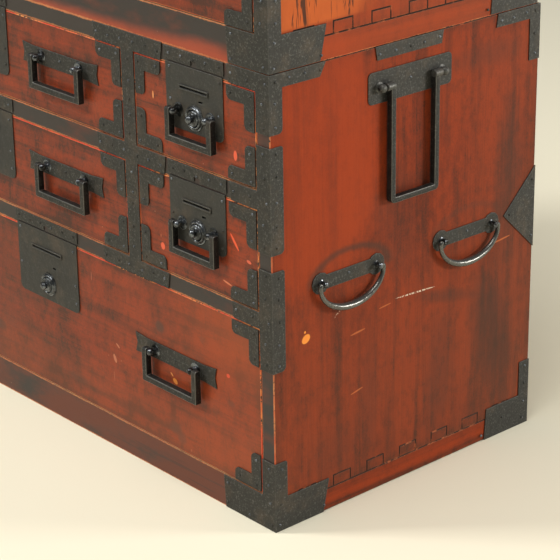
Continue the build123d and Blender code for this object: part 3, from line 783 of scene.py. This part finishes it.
def mark_boards(piece, seed):
    """Stores two attributes: coordinates with X along each board's grain, and distances to its sides."""
    mesh = piece.data
    rng = random.Random(seed)
    grain = mesh.attributes.new("grain", "FLOAT_VECTOR", "POINT")
    margin = mesh.attributes.new("margin", "FLOAT_COLOR", "CORNER")
    board = {}
    for part, low, high in islands_of(mesh):
        size = high - low
        order = sorted(range(3), key=lambda a: -size[a])
        shift = Vector([rng.uniform(-9, 9) for _ in range(3)])
        for i in part:
            place = mesh.vertices[i].co
            grain.data[i].vector = Vector([place[a] for a in order]) + shift
            board[i] = (low, high)
    for polygon in mesh.polygons:
        normal = [abs(n) for n in polygon.normal]
        facing = normal.index(max(normal))
        a, b = [axis for axis in range(3) if axis != facing]
        for corner in polygon.loop_indices:
            i = mesh.loops[corner].vertex_index
            (low, high), place = board[i], mesh.vertices[i].co
            below, above = place - low, high - place
            margin.data[corner].color = (below[a], above[a], below[b], above[b])


def finish_boards(name, node, finishes, choose, seed):
    """Replaces a wooden node by an eased copy. choose gives a face's finish from its place and normal."""
    sizes = bpy.context.scene.chest_sizes
    piece = merged_copy(name, node)
    for finish in finishes:
        piece.data.materials.append(finish)
    ease(piece, sizes.wood_easing, 2)
    smooth_by_angle(piece, 50, True)
    for polygon in piece.data.polygons:
        polygon.material_index = choose(polygon.center, polygon.normal)
    mark_boards(piece, seed)
    place_piece(piece, BODY_OF[node], "red_lacquer_wood", node)


def place_piece(piece, body, slot, *nodes):
    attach(piece, body)
    if nodes:
        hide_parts(*nodes)


def turned(name, rings, sides, hollow=False):
    """A turned shape about Z: a circle carried up through rings of (radius, height), in millimetres."""
    clear_selection()
    (radius, height), rest = rings[0], rings[1:]
    bpy.ops.mesh.primitive_circle_add(
        vertices=sides, radius=radius * MM, fill_type="NOTHING" if hollow else "NGON",
        location=(0, 0, height * MM),
    )
    piece = just_added(name)
    open_edit(piece)
    for next_radius, next_height in rest:
        rise = (0, 0, (next_height - height) * MM)
        if hollow:
            bpy.ops.mesh.extrude_edges_move(TRANSFORM_OT_translate={"value": rise})
        else:
            pull(rise)
        factor = next_radius / radius
        bpy.ops.transform.resize(value=(factor, factor, 1.0), center_override=(0, 0, next_height * MM))
        radius, height = next_radius, next_height
    if hollow:
        pick("edges", lambda edge: edge.is_boundary)
        bpy.ops.mesh.bridge_edge_loops()
    close_edit(turn_outward=True)
    return smooth_by_angle(piece, 60)


def hammered(piece, depth, size):
    """Uneven faces, as the hammer leaves them."""
    marks = bpy.data.textures.new(piece.name + "_marks", "CLOUDS")
    marks.noise_scale = size
    marks.noise_depth = 1
    apply_modifier(piece, "DISPLACE", texture=marks, strength=depth, mid_level=0.5)


def pin_between(start, end, radius, sides=12, finish="handle_iron"):
    """A round pin along X, both ends given in millimetres."""
    clear_selection()
    middle = [(a + b) / 2 * MM for a, b in zip(start, end)]
    bpy.ops.mesh.primitive_cylinder_add(
        vertices=sides, radius=radius * MM, depth=abs(end[0] - start[0]) * MM, location=middle,
        rotation=(0, math.radians(90), 0),
    )
    piece = just_added("pin")
    piece.data.materials.append(material(finish))
    return smooth_by_angle(piece, 50)


def pin_pair(start, end, height, radius, sides=12, finish="handle_iron"):
    """Two pins on one axis at the given height, one each side of the middle."""
    return [
        pin_between((side * start, 0, height), (side * end, 0, height), radius, sides, finish)
        for side in (1, -1)
    ]


def squared_handle(name, width, drop, bar, depth, standoff, steps, bend, hammer):
    """A squared bar bent to a U that hangs from its two leg tops, which are rounded about the pins.

    It lies below the origin with its back standing off the plane z = 0. Sizes are in millimetres."""
    clear_selection()
    corner = Vector((bar - width, bar - 2 * drop, 2 * standoff)) / 2 * MM
    bpy.ops.mesh.primitive_cube_add(size=MM, location=corner, scale=(bar, bar, depth))
    piece = just_added(name)
    # the first finish is a darker copy of the iron that paints shade on the faces not turned outward
    for finish in ("handle_shade", "handle_arris", "handle_iron"):
        piece.data.materials.append(material(finish))
    open_edit(piece)
    pick("faces", lambda face: face.normal.x > 0.9)
    for _ in range(steps[0]):
        pull(((width - 2 * bar) / steps[0] * MM, 0, 0))
    pull((bar * MM, 0, 0))
    inner = (width / 2 - bar) * MM
    pick("faces", lambda face: face.normal.y > 0.9 and abs(face.calc_center_median().x) > inner)
    for _ in range(steps[1]):
        pull((0, (drop - bar) / steps[1] * MM, 0))
    height, half = 0.0, 1.0
    for turn in (20, 38, 54):
        rise, across = math.sin(math.radians(turn)) * depth / 2, math.cos(math.radians(turn))
        pull((0, (rise - height) * MM, 0))
        bpy.ops.transform.resize(value=(1, 1, across / half), center_override=(0, rise * MM, standoff * MM))
        height, half = rise, across
    out, down = (width / 2 - 0.1) * MM, (0.1 - drop) * MM
    pick("edges", lambda edge: all(abs(v.co.x) > out and v.co.y < down for v in edge.verts))
    bpy.ops.mesh.bevel(offset=bend * MM, segments=4, affect="EDGES")
    close_edit(turn_outward=True)
    ease(piece, bpy.context.scene.chest_sizes.bar_easing, 3, 1, 50)
    open_edit(piece)
    bpy.ops.mesh.subdivide(number_cuts=1)
    close_edit()
    for polygon in piece.data.polygons:
        if polygon.material_index == 0 and polygon.normal.z > 0.8:
            polygon.material_index = 2  # the face turned outward takes the lighter iron; the other flat faces keep the painted-shade copy
    hammered(piece, hammer, 0.006)
    return smooth_by_angle(piece, 60)


def round_grip(name, reach, drop, ends, middle, standoff, curl):
    """A round bar bent to a crescent, thicker in the middle, its ends curled in to the pins."""
    clear_selection()
    bpy.ops.mesh.primitive_circle_add(
        vertices=16, radius=ends * MM, fill_type="NGON", location=(reach * MM, 0, standoff * MM),
        rotation=(math.radians(90), 0, 0),
    )
    piece = just_added(name)
    open_edit(piece)
    steps = 24
    bpy.ops.mesh.spin(steps=steps, angle=math.radians(180), center=(0, 0, standoff * MM), axis=(0, 0, 1))
    squash = (drop - curl) / reach
    bpy.ops.mesh.select_all(action="SELECT")
    bpy.ops.transform.resize(value=(1, squash, 1), center_override=(0, 0, 0))

    def bearing(vert):
        return math.atan2(-vert.co.y / squash, vert.co.x) % (1.9 * math.pi)

    for i in range(steps + 1):
        turn = math.pi * i / steps
        centre = (reach * math.cos(turn) * MM, -reach * squash * math.sin(turn) * MM, standoff * MM)
        pick("verts", lambda vert: abs(bearing(vert) - turn) < 0.03)
        grow = 1 + (middle / ends - 1) * math.sin(turn) ** 2
        bpy.ops.transform.resize(value=(grow, grow / squash, grow), center_override=centre)
    for side in (1, -1):
        pick("faces", lambda face: len(face.verts) == 16 and face.calc_center_median().x * side > 0)
        centre = ((reach - curl) * side * MM, 0, standoff * MM)
        bpy.ops.mesh.spin(steps=5, angle=math.radians(-90) * side, center=centre, axis=(0, 0, 1))
    bpy.ops.mesh.select_all(action="SELECT")
    bpy.ops.transform.translate(value=(0, -curl * MM, 0))
    close_edit(turn_outward=True)
    apply_modifier(piece, "SUBSURF", levels=1, render_levels=1)
    hammered(piece, bpy.context.scene.chest_sizes.hammer_depth * 0.7, 0.009)
    return smooth_by_angle(piece, 60)


def copy_at(master, name, matrix):
    """A copy of a finished master with its own mesh, moved in its mesh."""
    piece = bpy.data.objects.new(name, master.data.copy())
    bpy.context.scene.collection.objects.link(piece)
    piece.data.transform(matrix)
    return piece


def joined(name, pieces):
    clear_selection()
    for piece in pieces:
        piece.select_set(True)
    bpy.context.view_layer.objects.active = pieces[0]
    if len(pieces) > 1:
        bpy.ops.object.join()
    pieces[0].name = name
    pieces[0].data.name = name
    return pieces[0]


def discard(*pieces):
    for piece in pieces:
        bpy.data.objects.remove(piece)


def even_places(low, high, pitch):
    count = max(1, round((high - low) / pitch))
    return [low + (high - low) * i / count for i in range(count + 1)]


def nail_places(corners, inset, pitch):
    """Places for nails along the arm and the leg of a flat iron, given by its corners (u, v)."""
    ends = [pick_end(c[axis] for c in corners) for axis in (0, 1) for pick_end in (min, max)]
    low_u, high_u, low_v, high_v = ends

    def narrow_end(axis, first, last):
        spans = []
        for end in (first, last):
            near = [c[1 - axis] for c in corners if abs(c[axis] - end) < 10 * MM]
            spans.append((min(near), max(near)))
        return min(spans, key=lambda span: span[1] - span[0])

    places, arm = [], None
    if high_u - low_u > 30 * MM:
        arm = narrow_end(0, low_u, high_u)
        rows = [sum(arm) / 2] if arm[1] - arm[0] < 30 * MM else [arm[0] + inset, arm[1] - inset]
        for place, v in enumerate(rows):
            row = even_places(low_u + inset, high_u - inset, pitch * len(rows))
            places += [(u, v) for u in (row if place == 0 else row[::2])]
    if high_v - low_v > 30 * MM:
        leg = sum(narrow_end(1, low_v, high_v)) / 2
        for v in even_places(low_v + inset, high_v - inset, pitch):
            if not arm or not arm[0] - 5 * MM < v < arm[1] + 5 * MM:
                places.append((leg, v))
    return places


def slot_lip(name, width, height, rim, rise):
    """A raised rim round a slot, in millimetres, standing on an iron plate."""
    clear_selection()
    bpy.ops.mesh.primitive_plane_add(size=MM, location=(0, 0, 1.4 * MM))
    piece = just_added(name)
    open_edit(piece)
    bpy.ops.transform.resize(value=(width + 2 * rim, height + 2 * rim, 1), center_override=(0, 0, 1.4 * MM))
    bpy.ops.mesh.inset(thickness=rim * MM)
    bpy.ops.mesh.delete(type="FACE")
    close_edit()
    apply_modifier(piece, "SOLIDIFY", thickness=rise * MM, offset=1.0)
    ease(piece, rim * 0.35 * MM, 2)
    return smooth_by_angle(piece, 50)


def on_face(face, u, v):
    """Puts a master with its foot at the origin on the wood of the front or a side."""
    spots = {"front": (u, FRONT_Y, v), "right": (OUTER_X, u, v), "left": (-OUTER_X, u, v)}
    return Matrix.Translation(spots[face]) @ FACES_OUT[face]


def material(name):
    return bpy.data.materials[name]


# ---- Operators ----


class CHEST_OT_finishes(bpy.types.Operator):
    """Mixes the lacquers, the bare wood and the iron finishes."""

    bl_idname = "chest.finishes"
    bl_label = "Mix the finishes"

    def execute(self, context):
        colours = context.scene.chest_colours
        red_lacquer("side_lacquer", colours, side_marks, 0.04, 0.02, 0.42)
        red_lacquer("skid_lacquer", colours, None, 0.16, 0.02, 0.3)
        red_lacquer("drawer_lacquer", colours, None, 0.05, 0.12, 0.56, 0.40)
        red_lacquer("long_drawer_lacquer", colours, long_front_marks, 0.0, 0.12, 0.54, 0.46)
        red_lacquer("small_drawer_lacquer", colours, small_front_marks, 0.24, 0.12, 0.56, 0.26)
        dark_lacquer("rail_lacquer", colours)
        worn_edge("worn_red_edge", colours, False)
        seam_edge("seam_edge")
        worn_edge("worn_dark_edge", colours, True)
        bright_edge("bright_edge")
        bare_wood("planed_wood", colours)
        blackened_iron("blackened_iron", colours)
        blackened_iron("filed_iron", colours, 0.35)
        blackened_iron("lock_iron", colours, 0.06, 0.15)
        blackened_iron("handle_iron", colours, 0.03, 0.4, 0.04, 0.48)
        # a darker copy of the handle iron: painted shade on a handle's side and back faces
        blackened_iron("handle_shade", colours, 0.0, 0.25, 0.0, 0.25)
        blackened_iron("handle_arris", colours, 0.55, 0.4, 0.10)
        blackened_iron("grip_iron", colours, 0.60, 0.25, 0.24)
        bright_iron("post_iron", colours, 1.0, 0.2)
        blackened_iron("lip_iron", colours, 0.16, 0.3)
        bright_iron("button_iron", colours, 0.88, 0.2)
        bright_iron("nail_iron", colours, 0.6, 0.3)
        return {"FINISHED"}


def is_eased(normal):
    """Whether a face belongs to an eased edge, and not to a flat of the board."""
    return max(abs(n) for n in normal) < 0.985


def at_front(centre):
    return centre.y < FRONT_Y + NEAR


def at_side(centre):
    return abs(centre.x) > OUTER_X - NEAR


def side_of(body):
    return "right" if "right" in body else "left"


def is_lock_plate(size):
    return size.x > LOCK_PLATE_WIDTH and size.z > LOCK_PLATE_HEIGHT


def is_corner_iron(size):
    return max(size) < CORNER_IRON_SPAN and size.y < 2 * MM


class CHEST_OT_boards(bpy.types.Operator):
    """Finishes the boards and rails of both cases."""

    bl_idname = "chest.boards"
    bl_label = "Finish the case boards"

    def execute(self, context):
        lacquered = [material(n) for n in (
            "side_lacquer", "rail_lacquer", "seam_edge", "worn_dark_edge", "planed_wood", "bright_edge",
        )]

        def case_face(centre, normal):
            outside, front = at_side(centre), at_front(centre)
            on_top = centre.z > CHEST_TOP - NEAR
            foot = outside and abs(centre.z - CASE_TOP) < NEAR and normal.z < 0
            if is_eased(normal):
                return 3 if front or foot else 2 if outside or on_top else 4
            if front and normal.y < -0.9:
                return 1
            if (outside and abs(normal.x) > 0.9) or (on_top and normal.z > 0.9):
                return 0
            return 4

        def rail_face(centre, normal):
            if at_front(centre):
                return 1 if not is_eased(normal) else 5 if normal.z > 0.2 else 3
            return 1 if normal.z > 0.9 and centre.z > CHEST_TOP - NEAR else 4

        boards = (
            "lower_sides", "lower_top_board", "lower_bottom_board", "lower_back_boards", "lower_dust_boards",
            "upper_boards",
        )
        for place, node in enumerate(boards):
            finish_boards(node.replace("lower_", "case_"), node, lacquered, case_face, 11 + place)
        skids = [material("skid_lacquer")] + lacquered[1:]
        finish_boards("case_skids", "lower_skids", skids, case_face, 31)
        finish_boards("case_partition", "lower_partition", lacquered, rail_face, 32)
        finish_boards("case_front_rails", "lower_front_rails", lacquered, rail_face, 33)
        finish_boards("top_case_front_rails", "upper_front_rails", lacquered, rail_face, 34)
        return {"FINISHED"}


class CHEST_OT_drawers(bpy.types.Operator):
    """Finishes the drawer fronts and boxes."""

    bl_idname = "chest.drawers"
    bl_label = "Finish the drawers"

    def execute(self, context):
        def front_face(centre, normal):
            if at_front(centre):
                return 0 if not is_eased(normal) else 3 if normal.z > 0.2 or abs(normal.x) > 0.2 else 1
            return 2

        for place, node in enumerate(sorted(NODES)):
            if not node.endswith(("_front", "_box", "_body")) or "drawer" not in node:
                continue
            lacquer = "long_drawer_lacquer" if node.startswith("long") else "drawer_lacquer"
            lacquer = "small_drawer_lacquer" if node.startswith("small") else lacquer
            finishes = [material(n) for n in (lacquer, "worn_red_edge", "planed_wood", "bright_edge")]
            finish_boards(node + "_wood", node, finishes, front_face, 50 + place)
        return {"FINISHED"}


class CHEST_OT_plates(bpy.types.Operator):
    """Finishes the iron plates, with filed edges."""

    bl_idname = "chest.plates"
    bl_label = "Finish the iron plates"

    def execute(self, context):
        sizes = context.scene.chest_sizes

        def not_turned(low, high):
            size = high - low
            collar = min(size.x, size.z) > 20 * MM and max(size) < 30 * MM
            return not collar and max(size) >= POST_SPAN

        for node in sorted(NODES):
            if not node.endswith(("_irons", "_mounts")):
                continue
            name = node.replace("_irons", "_plates").replace("mounts", "handle_plates")
            piece = merged_copy(name, node, not_turned)
            for finish in ("blackened_iron", "filed_iron", "lock_iron"):
                piece.data.materials.append(material(finish))
            if "drawer" in node and node.endswith("_irons"):
                wood = node.replace("_irons", "_front")
                low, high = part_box(wood if wood in NODES else node.replace("_irons", "_body"))
                draw_back(piece, 1.6 * MM, low, high, (0, 2), is_corner_iron)
                draw_back(piece, 1.7 * MM, low, high, (2,), is_lock_plate)
            if node in ("lower_corner_irons", "lower_face_irons", "upper_irons"):
                clear_runs(piece, node[:5] + "_front_rails")
            if node == "upper_irons":
                foot, no_end = (0, 0, CASE_TOP), (0, 0, math.inf)
                draw_back(piece, 1.2 * MM, foot, no_end, (2,), lambda size: True)
            ease(piece, sizes.iron_easing, 2, 1)
            smooth_by_angle(piece, 50, True)
            for part, low, high in islands_of(piece.data) if "drawer" in node else ():
                if is_lock_plate(high - low):
                    inside = set(part)
                    for polygon in piece.data.polygons:
                        if polygon.vertices[0] in inside and polygon.material_index == 0:
                            polygon.material_index = 2
            place_piece(piece, BODY_OF[node], "forged_iron", node)
        return {"FINISHED"}


class CHEST_OT_masters(bpy.types.Operator):
    """Models the fittings that repeat: posts, collar, button and the four kinds of handle."""

    bl_idname = "chest.masters"
    bl_label = "Forge the repeated fittings"

    def execute(self, context):
        sizes = context.scene.chest_sizes
        hammer = sizes.hammer_depth
        for name, profile, radius, height, finish in (
            ("post", POST_PROFILE, 2.3, BAIL_PIN, "post_iron"),
            ("pole_post", POLE_POST_PROFILE, 2.3, POLE_PIN, "filed_iron"),
            ("grip_post", GRIP_POST_PROFILE, 1.9, GRIP_PIN, "post_iron"),
        ):
            piece = turned(name, profile, 20)
            piece.data.materials.append(material(finish))
            cutter = pin_between((-12, 0, height), (12, 0, height), radius, 12, finish)
            apply_modifier(piece, "BOOLEAN", operation="DIFFERENCE", object=cutter, solver="EXACT")
            discard(cutter)
            smooth_by_angle(piece, 40)
        turned("collar", COLLAR_PROFILE, 36, hollow=True).data.materials.append(material("button_iron"))
        turned("button", BUTTON_PROFILE, 32).data.materials.append(material("button_iron"))

        for width, drop in ((100.0, 39.0), (80.0, 36.0)):
            bail = squared_handle(f"bail_{width:.0f}", width, drop, 7.8, 8.8, BAIL_PIN, (16, 5), 1.2, hammer)
            joined(bail.name, [bail] + pin_pair(width / 2 - 4.0, width / 2 - 17.5, BAIL_PIN, 2.05))
        pole = squared_handle("pole", 76.0, 138.0, 6.8, 8.2, POLE_PIN, (14, 24), 5.5, hammer)
        pins = pin_pair(32.4, 54.6, POLE_PIN, 2.05)
        rolls = pin_pair(31.1, 43.3, POLE_PIN, 4.6, 20, "filed_iron")
        for roll in rolls:
            ease(roll, 0.8 * MM, 2)
            smooth_by_angle(roll, 50)
        joined("pole", [pole] + pins + rolls)
        grip = round_grip("grip", 49.0, 36.0, 2.7, 4.6, GRIP_PIN, 2.9)
        grip.data.materials.append(material("grip_iron"))
        joined("grip", [grip] + pin_pair(46.7, 38.0, GRIP_PIN, 1.7, 12, "grip_iron"))

        radius, rise, top = sizes.nail_radius / MM, sizes.nail_height / MM, IRON / MM
        nail = turned("nail", (
            (radius, FOOT), (radius * 0.92, top + rise * 0.5), (radius * 0.55, top + rise * 0.92),
            (radius * 0.1, top + rise),
        ), 8)
        nail.data.materials.append(material("nail_iron"))
        return {"FINISHED"}


class CHEST_OT_handles(bpy.types.Operator):
    """Hangs the handles on their pins and sets the buttons in their collars."""

    bl_idname = "chest.handles"
    bl_label = "Hang the handles"

    def execute(self, context):
        for body, pivot in PIVOTS.items():
            if "bail" in body:
                low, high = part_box(body)
                master = "bail_100" if high.x - low.x > WIDE_BAIL else "bail_80"
                face, along = "front", pivot.x
            else:
                master = "grip" if "grip" in body else "pole"
                face, along = side_of(body), pivot.y
            piece = copy_at(bpy.data.objects[master], body + "_bar", on_face(face, along, pivot.z))
            place_piece(piece, body, "forged_iron", body)
        for body in sorted(BODY_OF.values()):
            if body.endswith("_button"):
                middle = middle_of(*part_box(body))
                seat = on_face("front", middle.x, middle.z)
                piece = copy_at(bpy.data.objects["button"], body + "_dome", seat)
                place_piece(piece, body, "forged_iron", body)
        return {"FINISHED"}


class Hand:
    """Sets copies of the masters on a face, with the small unevenness of handwork."""

    def __init__(self, seed):
        self.rng = random.Random(seed)

    def fitting(self, master, face, u, v, tilt=0.0):
        turn = Euler([self.rng.uniform(-tilt, tilt) for _ in range(3)]).to_matrix().to_4x4()
        return copy_at(bpy.data.objects[master], master + "_set", on_face(face, u, v) @ turn)

    def pair(self, master, face, u, v, reach):
        return [self.fitting(master, face, u + side * reach, v) for side in (-1, 1)]

    def nail(self, face, u, v, dark=0.5, stray=1.5 * MM):
        u, v = (place + self.rng.uniform(-stray, stray) for place in (u, v))
        piece = self.fitting("nail", face, u, v, 0.12)
        if self.rng.random() < dark:
            piece.data.materials[0] = material("blackened_iron")
        return piece


def corner_iron_nails(hand, low, high, middle):
    """Three nails on a drawer's corner iron: one in its corner and one at the end of each arm."""
    centre = middle_of(low, high)
    way_x, way_z = (1 if centre.x > middle.x else -1), (1 if centre.z > middle.z else -1)
    corner = (high.x if way_x > 0 else low.x, high.z if way_z > 0 else low.z)
    return [
        hand.nail("front", corner[0] - way_x * across * MM, corner[1] - way_z * up * MM)
        for across, up in ((8, 8), (39, 9), (9, 39))
    ]


def lock_plate_fittings(hand, low, high):
    """The raised lip of the lock's slot and the nails near the plate's sides."""
    size, centre = high - low, middle_of(low, high)
    lip = slot_lip("lip", size.x * 0.48 / MM - 0.6, 2.6, 1.9, 1.7)
    lip.data.materials.append(material("lip_iron"))
    parts = [copy_at(lip, "lip_set", on_face("front", centre.x, high.z - 26.5 * MM))]
    discard(lip)
    for side, up in ((1, 0.15), (1, 0.40), (1, 0.88), (-1, 0.42), (-1, 0.92)):
        parts.append(hand.nail("front", centre.x + side * (size.x / 2 - 6 * MM), low.z + up * size.z))
    return parts


def drawer_fittings(hand, node):
    """Posts, collar, slot lip and nails of the drawer whose irons are in the node."""
    drawer = node[: -len("_irons")]
    parts = []
    for body, pivot in PIVOTS.items():
        if body.startswith(drawer + "_bail"):
            low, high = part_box(body)
            parts += hand.pair("post", "front", pivot.x, pivot.z, (high.x - low.x) / 2 - 12.5 * MM)
    button = middle_of(*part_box(drawer + "_button"))
    parts.append(hand.fitting("collar", "front", button.x, button.z))
    middle = middle_of(*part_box(drawer + ("_front" if drawer + "_front" in NODES else "_body")))
    for low, high in solid_boxes(node):
        size, centre = high - low, middle_of(low, high)
        if size.y > 2 * MM:
            continue
        if max(size) < CORNER_IRON_SPAN:
            parts += corner_iron_nails(hand, low, high, middle)
        elif size.x > HANDLE_PLATE_WIDTH:
            parts.append(hand.nail("front", centre.x, centre.z))
        else:
            parts += lock_plate_fittings(hand, low, high)
    return parts


def iron_nail_spots(node, corners, axis, flat):
    """Places for nails on a case iron, given by all its corners and by those on its outer face."""
    low, high = box_of(corners)
    size, centre = high - low, middle_of(low, high)
    end_strap = axis == 0 and 30 * MM < size.z < 45 * MM
    if node.endswith("mounts") or end_strap:
        spots = [(centre.y, centre.z + 2 * MM)]
        if size.z > 30 * MM:
            spots += [(centre.y + 38 * MM, centre.z - 12 * MM), (centre.y - 36 * MM, centre.z - 13 * MM)]
        return spots
    if len(flat) == 3:
        middle = [sum(c[i] for c in flat) / 3 for i in (0, 1)]
        return [[m + (c[i] - m) * 0.70 for i, m in enumerate(middle)] for c in flat]
    return nail_places(flat, 7.5 * MM, 24.5 * MM)


def case_fittings(hand, case):
    """Posts of a case's pole handles and grips, and the nails of its irons."""
    parts = []
    for body, pivot in PIVOTS.items():
        if body.startswith(case.replace("_case", "_pole")):
            parts += hand.pair("pole_post", side_of(body), pivot.y, pivot.z, 49 * MM)
        elif "grip" in body and case == "lower_case":
            parts += hand.pair("grip_post", side_of(body), pivot.y, pivot.z, 42.2 * MM)
    for node in BODIES[case]:
        if not node.endswith(("_irons", "_mounts")):
            continue
        for solid in solids_of(node):
            corners = {corner for face in solid for corner in face}
            low, high = box_of(corners)
            if max(high - low) < POST_SPAN:
                continue
            for face, axis, plane in IRON_FACES:
                flat = [(c[1 - axis], c[2]) for c in corners if abs(c[axis] - plane) < 0.01 * MM]
                if flat:
                    parts += [hand.nail(face, *spot) for spot in iron_nail_spots(node, corners, axis, flat)]
    return parts


class CHEST_OT_fittings(bpy.types.Operator):
    """Sets the posts, collars, slot lips and nails on the irons."""

    bl_idname = "chest.fittings"
    bl_label = "Set the posts and nails"

    def execute(self, context):
        hand = Hand(7)
        for node in sorted(NODES):
            if "drawer" in node and node.endswith("_irons"):
                name = node.replace("_irons", "_fittings")
                place_piece(joined(name, drawer_fittings(hand, node)), BODY_OF[node], "forged_iron")
        for case in ("lower_case", "upper_case"):
            place_piece(joined(case + "_fittings", case_fittings(hand, case)), case, "forged_iron")
        discard(*[bpy.data.objects[name] for name in MASTERS])
        return {"FINISHED"}


# ---- Stage ----


class CHEST_OT_stage(bpy.types.Operator):
    """Sets the plain pale floor, the soft lamps and the camera."""

    bl_idname = "chest.stage"
    bl_label = "Set the stage"

    def execute(self, context):
        studio, colours = context.scene.chest_studio, context.scene.chest_colours
        clear_selection()
        bpy.ops.mesh.primitive_plane_add(size=40.0, location=(0, 0, -0.0002))
        floor = context.view_layer.objects.active
        floor.name = "floor"
        recipe = Recipe("pale_floor")
        haze = recipe.noise(recipe.place(), 3.0, 4.0, 0.6)
        pale = spread_of(colours, "floor")
        recipe.finish(recipe.mix(haze * 0.35, pale, tuple(c * 0.93 for c in pale)), 0.7)
        floor.data.materials.append(recipe.material)

        world = bpy.data.worlds.new("studio")
        world.use_nodes = True
        context.scene.world = world
        background = world.node_tree.nodes["Background"]
        background.inputs["Color"].default_value = (0.93, 0.96, 1.0, 1.0)
        background.inputs["Strength"].default_value = studio.air

        for name, place, aim, size, power, tint in (
            ("window", (-2.3, -3.0, 3.3), (0.1, -0.1, 0.3), 0.9, studio.window_power, (1.0, 0.98, 0.95)),
            ("room", (3.1, 2.6, 1.25), (0.3, 0.0, 0.3), 0.9, studio.room_power, (1.0, 0.97, 0.93)),
            ("ceiling", (0.9, -1.2, 4.4), (0.4, -0.3, 0.0), 2.4, studio.ceiling_power, (1.0, 0.98, 0.94)),
        ):
            lamp = bpy.data.lights.new(name, "AREA")
            lamp.size = size
            lamp.energy = power
            lamp.color = tint
            holder = bpy.data.objects.new(name, lamp)
            context.scene.collection.objects.link(holder)
            holder.location = place
            holder.rotation_euler = (Vector(aim) - Vector(place)).to_track_quat("-Z", "Y").to_euler()

        lens = bpy.data.cameras.new("camera")
        lens.sensor_width = 36.0
        lens.lens = studio.lens
        camera = bpy.data.objects.new("camera", lens)
        context.scene.collection.objects.link(camera)
        right = Vector((0.6642342, 0.7473936, -0.0139898))
        down = Vector((0.2755173, -0.2621731, -0.9248543))
        forward = Vector((-0.6948979, 0.6104654, -0.3800643))
        turn = Matrix((right, -down, -forward)).transposed()
        camera.location = (2.0314113, -1.6057797, 1.1891053)
        camera.rotation_euler = turn.to_euler()
        context.scene.camera = camera
        context.scene.view_settings.view_transform = "Standard"
        return {"FINISHED"}


class CHEST_PT_panel(bpy.types.Panel):
    """Lists the steps that finish the chest."""

    bl_label = "Clothing chest"
    bl_idname = "CHEST_PT_panel"
    bl_space_type = "VIEW_3D"
    bl_region_type = "UI"
    bl_category = "Chest"

    def draw(self, context):
        for group in (context.scene.chest_sizes, context.scene.chest_colours, context.scene.chest_studio):
            box = self.layout.box()
            for name in group.__annotations__:
                box.prop(group, name)
        for step in STEPS:
            self.layout.operator(step.bl_idname)


STEPS = (
    CHEST_OT_finishes, CHEST_OT_boards, CHEST_OT_drawers, CHEST_OT_plates, CHEST_OT_masters,
    CHEST_OT_handles, CHEST_OT_fittings, CHEST_OT_stage,
)
GROUPS = {"chest_sizes": ChestSizes, "chest_colours": ChestColours, "chest_studio": ChestStudio}


def register():
    for name, group in GROUPS.items():
        bpy.utils.register_class(group)
        setattr(bpy.types.Scene, name, PointerProperty(type=group))
    for step in STEPS + (CHEST_PT_panel,):
        bpy.utils.register_class(step)


def unregister():
    for step in reversed(STEPS + (CHEST_PT_panel,)):
        bpy.utils.unregister_class(step)
    for name, group in GROUPS.items():
        delattr(bpy.types.Scene, name)
        bpy.utils.unregister_class(group)


def main():
    register()
    for step in STEPS:
        group, name = step.bl_idname.split(".")
        getattr(getattr(bpy.ops, group), name)()
    clear_selection()


if __name__ == "__main__":
    main()
